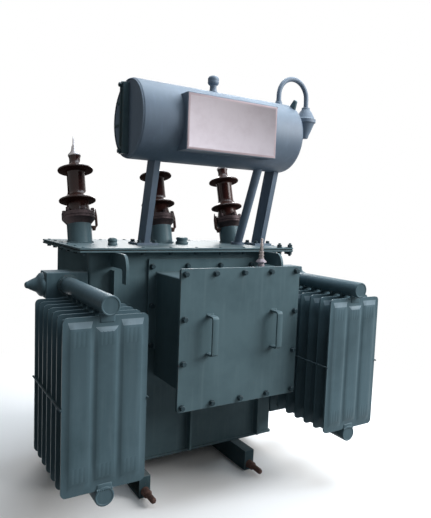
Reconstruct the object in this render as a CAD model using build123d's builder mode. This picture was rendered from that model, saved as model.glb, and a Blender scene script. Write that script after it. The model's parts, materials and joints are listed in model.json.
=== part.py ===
"""Oil-filled distribution transformer: tank on skids, side radiators, cable box, bushings and conservator.

Millimetres, +Z up, +X along the tank, front towards -Y. The origin is on the floor under the middle of the part.
"""
import os
from math import cos, radians, sin

from build123d import *

os.makedirs("parts", exist_ok=True)

# Shared fits
seat_gap = 0.3

# Base skids and haulage pins
skid_height = 75
skid_width = 40
skid_wall = 6
skid_spacing = 424
skid_overhang = 107
haul_boss_diameter = 30
haul_boss_length = 26
haul_pin_diameter = 20
haul_pin_length = 75
haul_pin_height = 24

# Tank, its rim and its cover
tank_length = 768
tank_depth = 390
tank_height = 749
tank_wall = 5
tank_corner_radius = 10
rim_overhang = 45
rim_thickness = 6
gasket_thickness = 3
gasket_inset = 4
cover_thickness = 6
stiffener_thickness = 8
stiffener_reach = 30
stiffener_margin = 12

# Lifting hooks, placed clear of the cable box flange
hook_clearance = 34
hook_thickness = 10
hook_arm_height = 48
hook_drop = 93
hook_reach = 135
rear_hook_reach = 104
hook_finger_width = 32
hook_corner_radius = 52
hook_throat_radius = 12

# Radiators
header_diameter = 54
header_wall = 4
header_length = 389
lower_header_cut = 18
upper_header_drop = 106
lower_header_rise = 123
header_offset = 63
header_box_length = 133
header_box_height = 83
header_box_depth = 76
header_cone_length = 56
header_cone_tip = 14
fin_count = 7
fin_pitch = 50
fin_width = 230
fin_top_drop = 29
fin_bottom_rise = 18
fin_thickness = 14
fin_corner_radius = 14
fin_tab_width = 46
front_fin_setback = 26
tie_bar_size = 8

# Cable box on the tank front
box_center_x = 44
box_flange_width = 440
box_flange_height = 315
box_flange_drop = 25
box_flange_thickness = 8
box_width = 378
box_height = 363
box_drop = 72
box_depth = 253
box_wall = 4
box_lip = 41
box_lip_thickness = 6
box_cover_thickness = 6
handle_offset = 124
handle_height = 126
handle_rise = 14
handle_reach = 38
handle_width = 22
handle_thickness = 6
handle_bend_radius = 8
neutral_inset = 29
neutral_setback = 125
neutral_base_radius = 20
neutral_neck_radius = 11
neutral_base_height = 10
neutral_neck_height = 32
neutral_flare_height = 14
neutral_cap_radius = 10
neutral_cap_height = 28
neutral_stem_radius = 4
neutral_stem_height = 45

# High-voltage bushings
bushing_inset = 56
bushing_setback = 52
bushing_shift = 9
bushing_lean = 16
turret_diameter = 88
turret_height = 66
turret_cone_height = 20
turret_flange_diameter = 120
turret_flange_thickness = 8
clamp_ring_height = 18
foot_radius = 46
foot_height = 22
neck_radius = 38
neck_height = 38
lower_shed_radius = 67
upper_shed_radius = 65
shed_edge = 8
shed_edge_radius = 3
lower_shed_rise = 24
core_radius = 33
core_height = 84
upper_shed_rise = 20
head_radius = 20
head_height = 32
terminal_radius = 23
terminal_height = 8
terminal_cone_height = 32
terminal_cone_radius = 8
needle_radius = 4
needle_height = 40
horn_width = 14
horn_thickness = 6
horn_grip = 10
horn_drop = 10
horn_reach = 9
horn_rise = 72

# Cover fittings
pocket_inset = 114
pocket_setback = 102
pocket_diameter = 34
pocket_height = 26
cap_offset = 42
cap_setback = 24
cap_diameter = 50
cap_height = 26

# Conservator drum and what it carries
drum_left_inset = 143
drum_overhang = 26
drum_radius = 133
drum_wall = 4
drum_end_thickness = 5
drum_setback = 150
drum_rise = 430
gauge_width = 34
gauge_height = 236
gauge_depth = 22
gauge_offset = 12
filler_diameter = 30
filler_height = 34
filler_cap_diameter = 42
filler_cap_height = 26
board_width = 366
board_height = 185
board_drop = 101
board_sheet = 3
board_front_gap = 20
drum_lug_thickness = 8
drum_lug_width = 30
drum_lug_height = 30
drum_lug_inset = 8
drum_lug_angle = 33
breather_pipe_diameter = 19
breather_inset = 22
breather_span = 141
breather_rise = 109
pot_top_rise = 140
pot_middle_rise = 86
pot_bottom_rise = 15
pot_radius = 43
pot_neck_radius = 16

# Conservator supports
leg_left_inset = 104
leg_right_inset = 31
leg_setback = 62
leg_lean = 14
leg_width = 22
leg_depth = 62
leg_foot_width = 84
leg_foot_thickness = 8
oil_pipe_inset = 118
oil_pipe_setback = 42
oil_pipe_lean = 22
oil_pipe_diameter = 34
oil_pipe_wall = 4
oil_flange_diameter = 56
oil_flange_thickness = 10

# Levels and places worked out from the sizes above
tank_bottom = skid_height
tank_top = tank_bottom + tank_height
rim_bottom = tank_top - rim_thickness
cover_top = tank_top + gasket_thickness + cover_thickness
skid_length = tank_depth + 2 * skid_overhang
front_reach = tank_depth / 2 + header_length
rear_reach = max(skid_length / 2, tank_depth / 2 + rear_hook_reach)
tank_y = (front_reach - rear_reach) / 2
tank_front = tank_y - tank_depth / 2
tank_back = tank_y + tank_depth / 2
header_front = tank_front - header_length
upper_header_height = rim_bottom - upper_header_drop
lower_header_height = tank_bottom + lower_header_rise
radiator_offset = tank_length / 2 + header_offset
front_fin_y = header_front + front_fin_setback
rear_fin_y = front_fin_y + (fin_count - 1) * fin_pitch
fin_top = upper_header_height - fin_top_drop
fin_bottom = lower_header_height + fin_bottom_rise
fin_mid_height = (fin_top + fin_bottom) / 2
box_back = tank_front - box_flange_thickness
box_front = box_back - box_depth
box_top = rim_bottom - box_drop
box_bottom = box_top - box_height
box_mid_height = (box_top + box_bottom) / 2
box_flange_bottom = rim_bottom - box_flange_drop - box_flange_height
box_cover_front = box_front - box_cover_thickness
hook_x = box_center_x + box_flange_width / 2 + hook_clearance + hook_thickness / 2
bushing_pitch = tank_length / 2 - bushing_inset
bushing_y = tank_y + bushing_setback
flange_level = turret_height + turret_cone_height
clamp_level = flange_level + turret_flange_thickness
drum_y = tank_y - drum_setback
drum_height = cover_top + drum_rise
drum_right = tank_length / 2 + drum_overhang
drum_left = drum_left_inset - tank_length / 2
drum_length = drum_right - drum_left
drum_center_x = (drum_left + drum_right) / 2
drum_seat_radius = drum_radius + seat_gap


def export_node(builder, name):
    """Label a finished piece and write its STEP file."""
    builder.part.label = name
    export_step(builder.part, f"parts/{name}.step")


def xz_plane(y):
    """A sketch plane facing the front at the given depth, with X across and Z up."""
    return Plane.XZ.offset(-y)


# Skids: channels on edge under the tank, open to the outside and closed at both ends
for name, side in (("base_skid_left", -1), ("base_skid_right", 1)):
    with BuildPart() as skid:
        with Locations((side * skid_spacing / 2, tank_y, skid_height / 2)):
            Box(skid_width, skid_length, skid_height)
        with Locations((side * (skid_spacing / 2 + skid_wall), tank_y, skid_height / 2)):
            Box(
                skid_width,
                skid_length - 2 * skid_wall,
                skid_height - 2 * skid_wall,
                mode=Mode.SUBTRACT,
            )
    export_node(skid, name)

# Haulage pins on bosses at the front ends of the skids
with BuildPart() as haul_pins:
    pin_places = ((-skid_spacing / 2, haul_pin_height), (skid_spacing / 2, haul_pin_height))
    for diameter, length in (
        (haul_boss_diameter, haul_boss_length),
        (haul_pin_diameter, haul_pin_length),
    ):
        with BuildSketch(xz_plane(tank_y - skid_length / 2)):
            with Locations(*pin_places):
                Circle(diameter / 2)
        extrude(amount=length)
export_node(haul_pins, "haul_pins")

# Tank body
with BuildPart() as tank_body:
    with BuildSketch(Plane.XY.offset(tank_bottom)):
        with Locations((0, tank_y)):
            RectangleRounded(tank_length, tank_depth, tank_corner_radius)
    extrude(amount=tank_height)
export_node(tank_body, "tank_body")

# Rim flange welded round the top of the tank
with BuildPart() as rim_flange:
    with BuildSketch(Plane.XY.offset(rim_bottom)):
        with Locations((0, tank_y)):
            Rectangle(tank_length + 2 * rim_overhang, tank_depth + 2 * rim_overhang)
            RectangleRounded(tank_length, tank_depth, tank_corner_radius, mode=Mode.SUBTRACT)
    extrude(amount=rim_thickness)
export_node(rim_flange, "tank_rim_flange")

# Gasket between rim and cover
with BuildPart() as cover_gasket:
    with BuildSketch(Plane.XY.offset(tank_top)):
        with Locations((0, tank_y)):
            Rectangle(
                tank_length + 2 * (rim_overhang - gasket_inset),
                tank_depth + 2 * (rim_overhang - gasket_inset),
            )
            Rectangle(tank_length - 2 * tank_wall, tank_depth - 2 * tank_wall, mode=Mode.SUBTRACT)
    extrude(amount=gasket_thickness)
export_node(cover_gasket, "cover_gasket")

# Top cover
with BuildPart() as top_cover:
    with BuildSketch(Plane.XY.offset(tank_top + gasket_thickness)):
        with Locations((0, tank_y)):
            Rectangle(tank_length + 2 * rim_overhang, tank_depth + 2 * rim_overhang)
    extrude(amount=cover_thickness)
export_node(top_cover, "top_cover")

# Stiffeners: flat bars up the tank walls, ending under the lifting hooks and the cable box
stiffener_top = rim_bottom - hook_arm_height - stiffener_margin
stiffener_foot = tank_bottom + stiffener_margin
stiffener_tops = (stiffener_top, box_bottom - stiffener_margin, stiffener_top)
stiffener_places = (-hook_x, 0, hook_x)
with BuildPart() as front_stiffeners:
    for x, top in zip(stiffener_places, stiffener_tops):
        with Locations((x, tank_front, stiffener_foot)):
            Box(
                stiffener_thickness,
                stiffener_reach,
                top - stiffener_foot,
                align=(Align.CENTER, Align.MAX, Align.MIN),
            )
export_node(front_stiffeners, "front_stiffeners")

with BuildPart() as rear_stiffeners:
    for x in stiffener_places:
        with Locations((x, tank_back, stiffener_foot)):
            Box(
                stiffener_thickness,
                stiffener_reach,
                stiffener_top - stiffener_foot,
                align=(Align.CENTER, Align.MIN, Align.MIN),
            )
export_node(rear_stiffeners, "rear_stiffeners")

# Lifting hooks under the rim, two at the front and two at the back: an arm with a finger turned down
with BuildPart() as lifting_hooks:
    for x in (-hook_x, hook_x):
        for wall, outward, reach in ((tank_front, -1, hook_reach), (tank_back, 1, rear_hook_reach)):
            finger_front = wall + outward * reach
            finger_back = wall + outward * (reach - hook_finger_width)
            with BuildSketch(Plane.YZ.offset(x)):
                with BuildLine():
                    Polyline(
                        (wall, rim_bottom - hook_arm_height),
                        (wall, rim_bottom),
                        (finger_front, rim_bottom),
                        (finger_front, rim_bottom - hook_drop),
                        (finger_back, rim_bottom - hook_drop),
                        (finger_back, rim_bottom - hook_arm_height),
                        close=True,
                    )
                make_face()
                by_reach = vertices().group_by(Axis.X)
                outer_corner = by_reach[0 if outward < 0 else -1].sort_by(Axis.Y)[-1]
                throat_corner = by_reach[1 if outward < 0 else -2].sort_by(Axis.Y)[-1]
                fillet(outer_corner, hook_corner_radius)
                fillet(throat_corner, hook_throat_radius)
            extrude(amount=hook_thickness / 2, both=True)
export_node(lifting_hooks, "lifting_hooks")

# Radiators: header boxes on the tank ends, header pipes to the front and fins hung between them
for name, side in (("left", -1), ("right", 1)):
    header_x = side * radiator_offset
    with BuildPart() as header_boxes:
        for level in (upper_header_height, lower_header_height):
            with Locations((side * (tank_length + header_box_length) / 2, tank_front, level)):
                Box(
                    header_box_length,
                    header_box_depth,
                    header_box_height,
                    align=(Align.CENTER, Align.MIN, Align.CENTER),
                )
    export_node(header_boxes, f"header_boxes_{name}")

    with BuildPart() as header_pipes:
        for level, length in (
            (upper_header_height, header_length),
            (lower_header_height, header_length - lower_header_cut),
        ):
            with BuildSketch(xz_plane(tank_front)):
                with Locations((header_x, level)):
                    Circle(header_diameter / 2)
            extrude(amount=length)
            with BuildSketch(xz_plane(tank_front)):
                with Locations((header_x, level)):
                    Circle(header_diameter / 2 - header_wall)
            extrude(amount=length - header_wall, mode=Mode.SUBTRACT)
    export_node(header_pipes, f"header_pipes_{name}")

    with BuildPart() as fins:
        for index in range(fin_count):
            with BuildSketch(xz_plane(front_fin_y + index * fin_pitch)):
                with Locations((header_x, fin_mid_height)):
                    RectangleRounded(fin_width, fin_top - fin_bottom, fin_corner_radius)
                with Locations((header_x, (lower_header_height + upper_header_height) / 2)):
                    Rectangle(fin_tab_width, upper_header_height - lower_header_height)
            extrude(amount=fin_thickness / 2, both=True)
        with Locations((header_x, tank_front, upper_header_height), (header_x, tank_front, lower_header_height)):
            Cylinder(
                header_diameter / 2 + seat_gap,
                2 * header_length,
                rotation=(90, 0, 0),
                mode=Mode.SUBTRACT,
            )
    export_node(fins, f"radiator_fins_{name}")

# Conical ends of the upper header boxes
with BuildPart() as header_cones:
    for side in (-1, 1):
        with Locations(
            Plane(
                origin=(
                    side * (tank_length / 2 + header_box_length),
                    tank_front + header_box_depth / 2,
                    upper_header_height,
                ),
                z_dir=(side, 0, 0),
            )
        ):
            Cone(
                header_box_depth / 2,
                header_cone_tip / 2,
                header_cone_length,
                align=(Align.CENTER, Align.CENTER, Align.MIN),
            )
export_node(header_cones, "header_cones")

# Tie bars across the fin edges at mid height
with BuildPart() as tie_bars:
    for side in (-1, 1):
        for edge in (-1, 1):
            bar_x = side * radiator_offset + edge * (fin_width + tie_bar_size) / 2
            with Locations((bar_x, (front_fin_y + rear_fin_y) / 2, fin_mid_height)):
                Box(tie_bar_size, rear_fin_y - front_fin_y + fin_thickness, tie_bar_size)
export_node(tie_bars, "radiator_tie_bars")

# Cable box: bolted flange on the tank, hollow body with an outward lip, bolted front cover
with BuildPart() as box_flange:
    with Locations((box_center_x, tank_front, box_flange_bottom)):
        Box(
            box_flange_width,
            box_flange_thickness,
            box_flange_height,
            align=(Align.CENTER, Align.MAX, Align.MIN),
        )
export_node(box_flange, "cable_box_flange")

with BuildPart() as box_body:
    with BuildSketch(xz_plane(box_back)):
        with Locations((box_center_x, box_mid_height)):
            Rectangle(box_width, box_height)
    extrude(amount=box_depth)
    with BuildSketch(xz_plane(box_front + box_lip_thickness)):
        with Locations((box_center_x, box_mid_height)):
            Rectangle(box_width + 2 * box_lip, box_height + 2 * box_lip)
    extrude(amount=box_lip_thickness)
    with BuildSketch(xz_plane(box_back - box_wall)):
        with Locations((box_center_x, box_mid_height)):
            Rectangle(box_width - 2 * box_wall, box_height - 2 * box_wall)
    extrude(amount=box_depth, mode=Mode.SUBTRACT)
export_node(box_body, "cable_box_body")

with BuildPart() as box_cover:
    with BuildSketch(xz_plane(box_front)):
        with Locations((box_center_x, box_mid_height)):
            Rectangle(box_width + 2 * box_lip, box_height + 2 * box_lip)
    extrude(amount=box_cover_thickness)
export_node(box_cover, "cable_box_cover")

# Handles: flat bars bent to a U and welded to the cover
handle_mid_height = box_mid_height + handle_rise
handle_grip = box_cover_front - handle_reach + handle_thickness / 2
handle_leg = (handle_height - handle_thickness) / 2
for name, side in (("left", -1), ("right", 1)):
    with BuildPart() as handle:
        with BuildSketch(Plane.YZ.offset(box_center_x + side * handle_offset)):
            with BuildLine():
                FilletPolyline(
                    (box_cover_front, handle_mid_height - handle_leg),
                    (handle_grip, handle_mid_height - handle_leg),
                    (handle_grip, handle_mid_height + handle_leg),
                    (box_cover_front, handle_mid_height + handle_leg),
                    radius=handle_bend_radius,
                )
                offset(amount=handle_thickness / 2, side=Side.BOTH)
            make_face()
        extrude(amount=handle_width / 2, both=True)
        split(bisect_by=xz_plane(box_cover_front), keep=Keep.TOP)
    export_node(handle, f"cable_box_handle_{name}")

# Neutral bushing on the cable box roof
neutral_x = box_center_x + box_width / 2 - neutral_inset
neutral_plane = xz_plane(box_front + neutral_setback)
neutral_axis = Axis((neutral_x, box_front + neutral_setback, box_top), (0, 0, 1))
neutral_flare_level = box_top + neutral_base_height + neutral_neck_height
neutral_top = neutral_flare_level + neutral_flare_height
with BuildPart() as neutral_porcelain:
    with BuildSketch(neutral_plane):
        with BuildLine():
            Polyline(
                (neutral_x, box_top),
                (neutral_x + neutral_base_radius, box_top),
                (neutral_x + neutral_base_radius, box_top + neutral_base_height),
                (neutral_x + neutral_neck_radius, box_top + neutral_base_height),
                (neutral_x + neutral_neck_radius, neutral_flare_level),
                (neutral_x + neutral_base_radius, neutral_flare_level),
                (neutral_x + neutral_cap_radius, neutral_top),
                (neutral_x, neutral_top),
                close=True,
            )
        make_face()
    revolve(axis=neutral_axis)
export_node(neutral_porcelain, "neutral_porcelain")

with BuildPart() as neutral_terminal:
    with BuildSketch(Plane.XY.offset(neutral_top)):
        with Locations((neutral_x, box_front + neutral_setback)):
            Circle(neutral_cap_radius)
    extrude(amount=neutral_cap_height)
    with BuildSketch(Plane.XY.offset(neutral_top + neutral_cap_height)):
        with Locations((neutral_x, box_front + neutral_setback)):
            Circle(neutral_stem_radius)
    extrude(amount=neutral_stem_height)
export_node(neutral_terminal, "neutral_terminal")


# High-voltage bushings: three in a row, leaning to the back
def bushing_base(x):
    """The plane on the cover whose normal is a bushing's leaning axis."""
    lean = radians(bushing_lean)
    return Plane(origin=(x, bushing_y, cover_top), x_dir=(1, 0, 0), z_dir=(0, sin(lean), cos(lean)))


def bushing_section(x):
    """The plane through a bushing's axis, with the radius across and the height up."""
    base = bushing_base(x)
    return Plane(origin=base.origin, x_dir=base.x_dir, z_dir=-base.y_dir)


def bushing_axis(x):
    """A bushing's own axis."""
    base = bushing_base(x)
    return Axis(base.origin, base.z_dir)


bushing_places = (-bushing_shift - bushing_pitch, -bushing_shift, bushing_pitch - bushing_shift)
with BuildPart() as turrets:
    for x in bushing_places:
        with BuildSketch(bushing_section(x)):
            with BuildLine():
                Polyline(
                    (0, -turret_diameter / 2),
                    (turret_diameter / 2, -turret_diameter / 2),
                    (turret_diameter / 2, turret_height),
                    (turret_flange_diameter / 2, flange_level),
                    (turret_flange_diameter / 2, clamp_level),
                    (0, clamp_level),
                    close=True,
                )
            make_face()
        revolve(axis=bushing_axis(x))
    split(bisect_by=Plane.XY.offset(cover_top), keep=Keep.TOP)
export_node(turrets, "bushing_turrets")

with BuildPart() as clamp_rings:
    for x in bushing_places:
        with BuildSketch(bushing_base(x).offset(clamp_level)):
            Circle(turret_flange_diameter / 2)
            Circle(foot_radius + seat_gap, mode=Mode.SUBTRACT)
        extrude(amount=clamp_ring_height)
export_node(clamp_rings, "bushing_clamp_rings")

neck_level = clamp_level + foot_height
lower_shed_level = neck_level + neck_height
core_level = lower_shed_level + shed_edge + lower_shed_rise
upper_shed_level = core_level + core_height
head_level = upper_shed_level + shed_edge + upper_shed_rise
terminal_level = head_level + head_height
for name, x in zip(("left", "middle", "right"), bushing_places):
    with BuildPart() as porcelain:
        with BuildSketch(bushing_section(x)):
            with BuildLine():
                Polyline(
                    (0, clamp_level),
                    (foot_radius, clamp_level),
                    (foot_radius, neck_level),
                    (neck_radius, lower_shed_level),
                    (lower_shed_radius, lower_shed_level),
                    (lower_shed_radius, lower_shed_level + shed_edge),
                    (core_radius, core_level),
                    (core_radius, upper_shed_level),
                    (upper_shed_radius, upper_shed_level),
                    (upper_shed_radius, upper_shed_level + shed_edge),
                    (head_radius, head_level),
                    (head_radius, terminal_level),
                    (0, terminal_level),
                    close=True,
                )
            make_face()
            shed_edges = vertices().group_by(Axis.X)[-1] + vertices().group_by(Axis.X)[-2]
            fillet(shed_edges, shed_edge_radius)
        revolve(axis=bushing_axis(x))
    export_node(porcelain, f"bushing_porcelain_{name}")

with BuildPart() as terminals:
    cap_level = terminal_level + terminal_height
    needle_level = cap_level + terminal_cone_height
    for x in bushing_places:
        with BuildSketch(bushing_section(x)):
            with BuildLine():
                Polyline(
                    (0, terminal_level),
                    (terminal_radius, terminal_level),
                    (terminal_radius, cap_level),
                    (terminal_cone_radius, needle_level),
                    (needle_radius, needle_level),
                    (needle_radius, needle_level + needle_height),
                    (0, needle_level + needle_height),
                    close=True,
                )
            make_face()
        revolve(axis=bushing_axis(x))
export_node(terminals, "bushing_terminals")

# Arcing horns: strips welded to the turrets with an upright spike outside the flange
with BuildPart() as arcing_horns:
    horn_level = turret_height - horn_drop
    horn_root = turret_diameter / 2 - horn_grip
    horn_end = turret_flange_diameter / 2 + horn_reach
    for x, side in zip(bushing_places, (1, 1, -1)):
        with BuildSketch(bushing_section(x)):
            with BuildLine():
                Polyline(
                    (side * horn_root, horn_level),
                    (side * horn_end, horn_level),
                    (side * horn_end, horn_level + horn_rise),
                    (side * (horn_end - horn_thickness), horn_level + horn_rise),
                    (side * (horn_end - horn_thickness), horn_level + horn_thickness),
                    (side * horn_root, horn_level + horn_thickness),
                    close=True,
                )
            make_face()
        extrude(amount=horn_width / 2, both=True)
    for x in bushing_places:
        with BuildSketch(bushing_base(x)):
            Circle(turret_diameter / 2 + seat_gap)
        extrude(amount=turret_height, mode=Mode.SUBTRACT)
export_node(arcing_horns, "arcing_horns")

# Cover fittings
with BuildPart() as thermometer_pocket:
    with BuildSketch(Plane.XY.offset(cover_top)):
        with Locations((pocket_inset - tank_length / 2, tank_y - pocket_setback)):
            Circle(pocket_diameter / 2)
    extrude(amount=pocket_height)
export_node(thermometer_pocket, "thermometer_pocket")

with BuildPart() as inspection_cap:
    with BuildSketch(Plane.XY.offset(cover_top)):
        with Locations((cap_offset, tank_y - cap_setback)):
            Circle(cap_diameter / 2)
    extrude(amount=cap_height)
export_node(inspection_cap, "inspection_cap")

# Conservator drum: a rolled shell closed by two flat ends
with BuildPart() as drum:
    with BuildSketch(Plane.YZ.offset(drum_left + drum_end_thickness)):
        with Locations((drum_y, drum_height)):
            Circle(drum_radius)
            Circle(drum_radius - drum_wall, mode=Mode.SUBTRACT)
    extrude(amount=drum_length - 2 * drum_end_thickness)
export_node(drum, "conservator_drum")

for name, x in (("left", drum_left), ("right", drum_right - drum_end_thickness)):
    with BuildPart() as drum_end:
        with BuildSketch(Plane.YZ.offset(x)):
            with Locations((drum_y, drum_height)):
                Circle(drum_radius)
        extrude(amount=drum_end_thickness)
    export_node(drum_end, f"conservator_end_{name}")

with BuildPart() as level_gauge:
    with Locations((drum_left, drum_y + gauge_offset, drum_height)):
        Box(gauge_depth, gauge_width, gauge_height, align=(Align.MAX, Align.CENTER, Align.CENTER))
export_node(level_gauge, "oil_level_gauge")

# Drum lugs: one at the back of the left end and one at the front of the right end
with BuildPart() as drum_lugs:
    for x, turn in (
        (drum_left + drum_lug_inset, -drum_lug_angle),
        (drum_right - drum_lug_inset, drum_lug_angle),
    ):
        lug_plane = Plane(origin=(x, drum_y, drum_height)).rotated((turn, 0, 0))
        with BuildSketch(lug_plane):
            Rectangle(drum_lug_thickness, drum_lug_width)
        extrude(amount=drum_radius + drum_lug_height)
    with Locations((drum_center_x, drum_y, drum_height)):
        Cylinder(drum_seat_radius, drum_length, rotation=(0, 90, 0), mode=Mode.SUBTRACT)
export_node(drum_lugs, "drum_lugs")

# Oil filler on the crown of the drum
with BuildPart() as filler:
    drum_crown = drum_height + drum_radius
    with BuildSketch(Plane.XY.offset(drum_height)):
        with Locations((drum_center_x, drum_y)):
            Circle(filler_diameter / 2)
    extrude(amount=drum_radius + filler_height)
    with BuildSketch(Plane.XY.offset(drum_crown + filler_height)):
        with Locations((drum_center_x, drum_y)):
            Circle(filler_cap_diameter / 2)
    extrude(amount=filler_cap_height)
    with Locations((drum_center_x, drum_y, drum_height)):
        Cylinder(drum_seat_radius, drum_length, rotation=(0, 90, 0), mode=Mode.SUBTRACT)
export_node(filler, "oil_filler")

# Sign board: a folded tray, left bare, with its returns cut to the drum
with BuildPart() as sign_board:
    board_front = drum_y - drum_radius - board_front_gap
    board_depth = drum_y - board_front
    board_bottom = drum_height - board_drop
    with Locations((drum_center_x, board_front, board_bottom)):
        Box(board_width, board_depth, board_height, align=(Align.CENTER, Align.MIN, Align.MIN))
    with Locations((drum_center_x, board_front + board_sheet, board_bottom + board_sheet)):
        Box(
            board_width - 2 * board_sheet,
            board_depth,
            board_height - 2 * board_sheet,
            align=(Align.CENTER, Align.MIN, Align.MIN),
            mode=Mode.SUBTRACT,
        )
    with Locations((drum_center_x, drum_y, drum_height)):
        Cylinder(drum_seat_radius, drum_length, rotation=(0, 90, 0), mode=Mode.SUBTRACT)
export_node(sign_board, "sign_board")

# Breather: an arched pipe from the crown over the right end, with a drying pot on its lower end
breather_root_x = drum_right - breather_inset
breather_leg_x = breather_root_x + breather_span
breather_top = drum_height + drum_radius + breather_rise
breather_arch_level = breather_top - breather_span / 2
pot_top = drum_height + pot_top_rise
pot_middle = drum_height + pot_middle_rise
pot_bottom = drum_height + pot_bottom_rise
with BuildPart() as breather_pipe:
    with BuildLine(xz_plane(drum_y)) as breather_path:
        Line((breather_root_x, drum_height), (breather_root_x, breather_arch_level))
        ThreePointArc(
            (breather_root_x, breather_arch_level),
            ((breather_root_x + breather_leg_x) / 2, breather_top),
            (breather_leg_x, breather_arch_level),
        )
        Line((breather_leg_x, breather_arch_level), (breather_leg_x, pot_top))
    with BuildSketch(Plane(origin=breather_path.line @ 0, z_dir=breather_path.line % 0)):
        Circle(breather_pipe_diameter / 2)
    sweep()
    with Locations((drum_center_x, drum_y, drum_height)):
        Cylinder(drum_seat_radius, drum_length, rotation=(0, 90, 0), mode=Mode.SUBTRACT)
export_node(breather_pipe, "breather_pipe")

with BuildPart() as breather_pot:
    with BuildSketch(xz_plane(drum_y)):
        with BuildLine():
            Polyline(
                (breather_leg_x, pot_bottom),
                (breather_leg_x + pot_neck_radius, pot_bottom),
                (breather_leg_x + pot_radius, pot_middle),
                (breather_leg_x + pot_neck_radius, pot_top),
                (breather_leg_x, pot_top),
                close=True,
            )
        make_face()
    revolve(axis=Axis((breather_leg_x, drum_y, pot_bottom), (0, 0, 1)))
export_node(breather_pot, "breather_pot")

# Conservator legs: leaning flat bars on foot plates, cut to the drum
leg_foot_y = tank_y - leg_setback
leg_slope = radians(leg_lean)
for name, x in (("left", drum_left + leg_left_inset), ("right", drum_right - leg_right_inset)):
    with BuildPart() as leg:
        leg_plane = Plane(
            origin=(x, leg_foot_y, cover_top),
            x_dir=(1, 0, 0),
            z_dir=(0, -sin(leg_slope), cos(leg_slope)),
        )
        with BuildSketch(leg_plane.offset(-leg_depth)):
            Rectangle(leg_width, leg_depth)
        extrude(amount=leg_depth + drum_rise)
        split(bisect_by=Plane.XY.offset(cover_top), keep=Keep.TOP)
        with Locations((x, leg_foot_y, cover_top)):
            Box(
                leg_foot_width,
                leg_foot_width,
                leg_foot_thickness,
                align=(Align.CENTER, Align.CENTER, Align.MIN),
            )
        with Locations((drum_center_x, drum_y, drum_height)):
            Cylinder(drum_seat_radius, drum_length, rotation=(0, 90, 0), mode=Mode.SUBTRACT)
    export_node(leg, f"conservator_leg_{name}")

# Oil pipe from the cover up to the drum
oil_slope = radians(oil_pipe_lean)
oil_pipe_x = drum_right - oil_pipe_inset
oil_pipe_y = tank_y - oil_pipe_setback
oil_plane = Plane(
    origin=(oil_pipe_x, oil_pipe_y, cover_top),
    x_dir=(1, 0, 0),
    z_dir=(0, -sin(oil_slope), cos(oil_slope)),
)
with BuildPart() as oil_pipe:
    with BuildSketch(oil_plane.offset(-oil_pipe_diameter)):
        Circle(oil_pipe_diameter / 2)
        Circle(oil_pipe_diameter / 2 - oil_pipe_wall, mode=Mode.SUBTRACT)
    extrude(amount=oil_pipe_diameter + drum_rise)
    split(bisect_by=Plane.XY.offset(cover_top), keep=Keep.TOP)
    with BuildSketch(Plane.XY.offset(cover_top)):
        with Locations((oil_pipe_x, oil_pipe_y)):
            Circle(oil_flange_diameter / 2)
    extrude(amount=oil_flange_thickness)
    with Locations((drum_center_x, drum_y, drum_height)):
        Cylinder(drum_seat_radius, drum_length, rotation=(0, 90, 0), mode=Mode.SUBTRACT)
export_node(oil_pipe, "oil_pipe")
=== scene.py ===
"""Looks of an oil-filled distribution transformer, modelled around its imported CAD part.
Sizes and places are in millimetres, apart from those of the studio, which are in metres."""
import json
from math import cos, pi, radians, sin, sqrt

import bmesh
import bpy
from mathutils import Matrix, Vector


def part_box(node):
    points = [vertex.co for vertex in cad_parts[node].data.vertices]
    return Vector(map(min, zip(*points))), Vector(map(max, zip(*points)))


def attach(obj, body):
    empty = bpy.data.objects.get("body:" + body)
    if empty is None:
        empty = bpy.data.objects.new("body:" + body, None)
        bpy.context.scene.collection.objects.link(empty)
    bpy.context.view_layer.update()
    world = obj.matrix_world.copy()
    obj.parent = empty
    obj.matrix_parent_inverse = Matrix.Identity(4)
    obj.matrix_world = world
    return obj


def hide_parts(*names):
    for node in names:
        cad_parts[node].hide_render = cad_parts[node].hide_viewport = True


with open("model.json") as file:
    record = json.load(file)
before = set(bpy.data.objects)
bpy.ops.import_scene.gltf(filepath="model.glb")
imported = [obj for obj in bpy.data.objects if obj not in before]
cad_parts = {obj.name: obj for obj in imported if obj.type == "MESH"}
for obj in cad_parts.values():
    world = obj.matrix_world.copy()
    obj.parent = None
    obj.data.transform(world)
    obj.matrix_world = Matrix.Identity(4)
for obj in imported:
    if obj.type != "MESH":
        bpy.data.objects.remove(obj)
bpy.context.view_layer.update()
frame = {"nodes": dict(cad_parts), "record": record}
MM = 0.001
X, Y, Z = 0, 1, 2


def span(node):
    """A CAD node's lowest and highest corners."""
    return [[round(place / MM, 1) for place in corner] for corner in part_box(node)]


def foot_of(node):
    """The middle of a CAD node's lowest side."""
    low, high = span(node)
    return (low[X] + high[X]) / 2, (low[Y] + high[Y]) / 2, low[Z]


# Finishes

def linear(hex_colour):
    """An sRGB hex colour as linear RGBA."""
    parts = [int(hex_colour[i:i + 2], 16) / 255 for i in (1, 3, 5)]
    return [c / 12.92 if c <= 0.04045 else ((c + 0.055) / 1.055) ** 2.4 for c in parts] + [1.0]


def per_mm(size):
    """The texture scale whose features are about this many millimetres across."""
    return 1 / (size * MM)


def add_node(tree, kind, props=None, values=None, links=None):
    """Add a node, set its properties and socket values, and link other nodes' outputs to its sockets."""
    node = tree.nodes.new(kind)
    for key, value in (props or {}).items():
        setattr(node, key, value)
    for socket, value in (values or {}).items():
        node.inputs[socket].default_value = value
    for socket, source in (links or {}).items():
        tree.links.new(source, node.inputs[socket])
    return node


def new_finish(name):
    """An empty node material with its shader, and the object coordinates that its patterns read."""
    material = bpy.data.materials.new(name)
    material.use_nodes = True
    tree = material.node_tree
    shader = tree.nodes["Principled BSDF"]
    place = add_node(tree, "ShaderNodeTexCoord").outputs["Object"]
    return material, tree, shader, place


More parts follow.
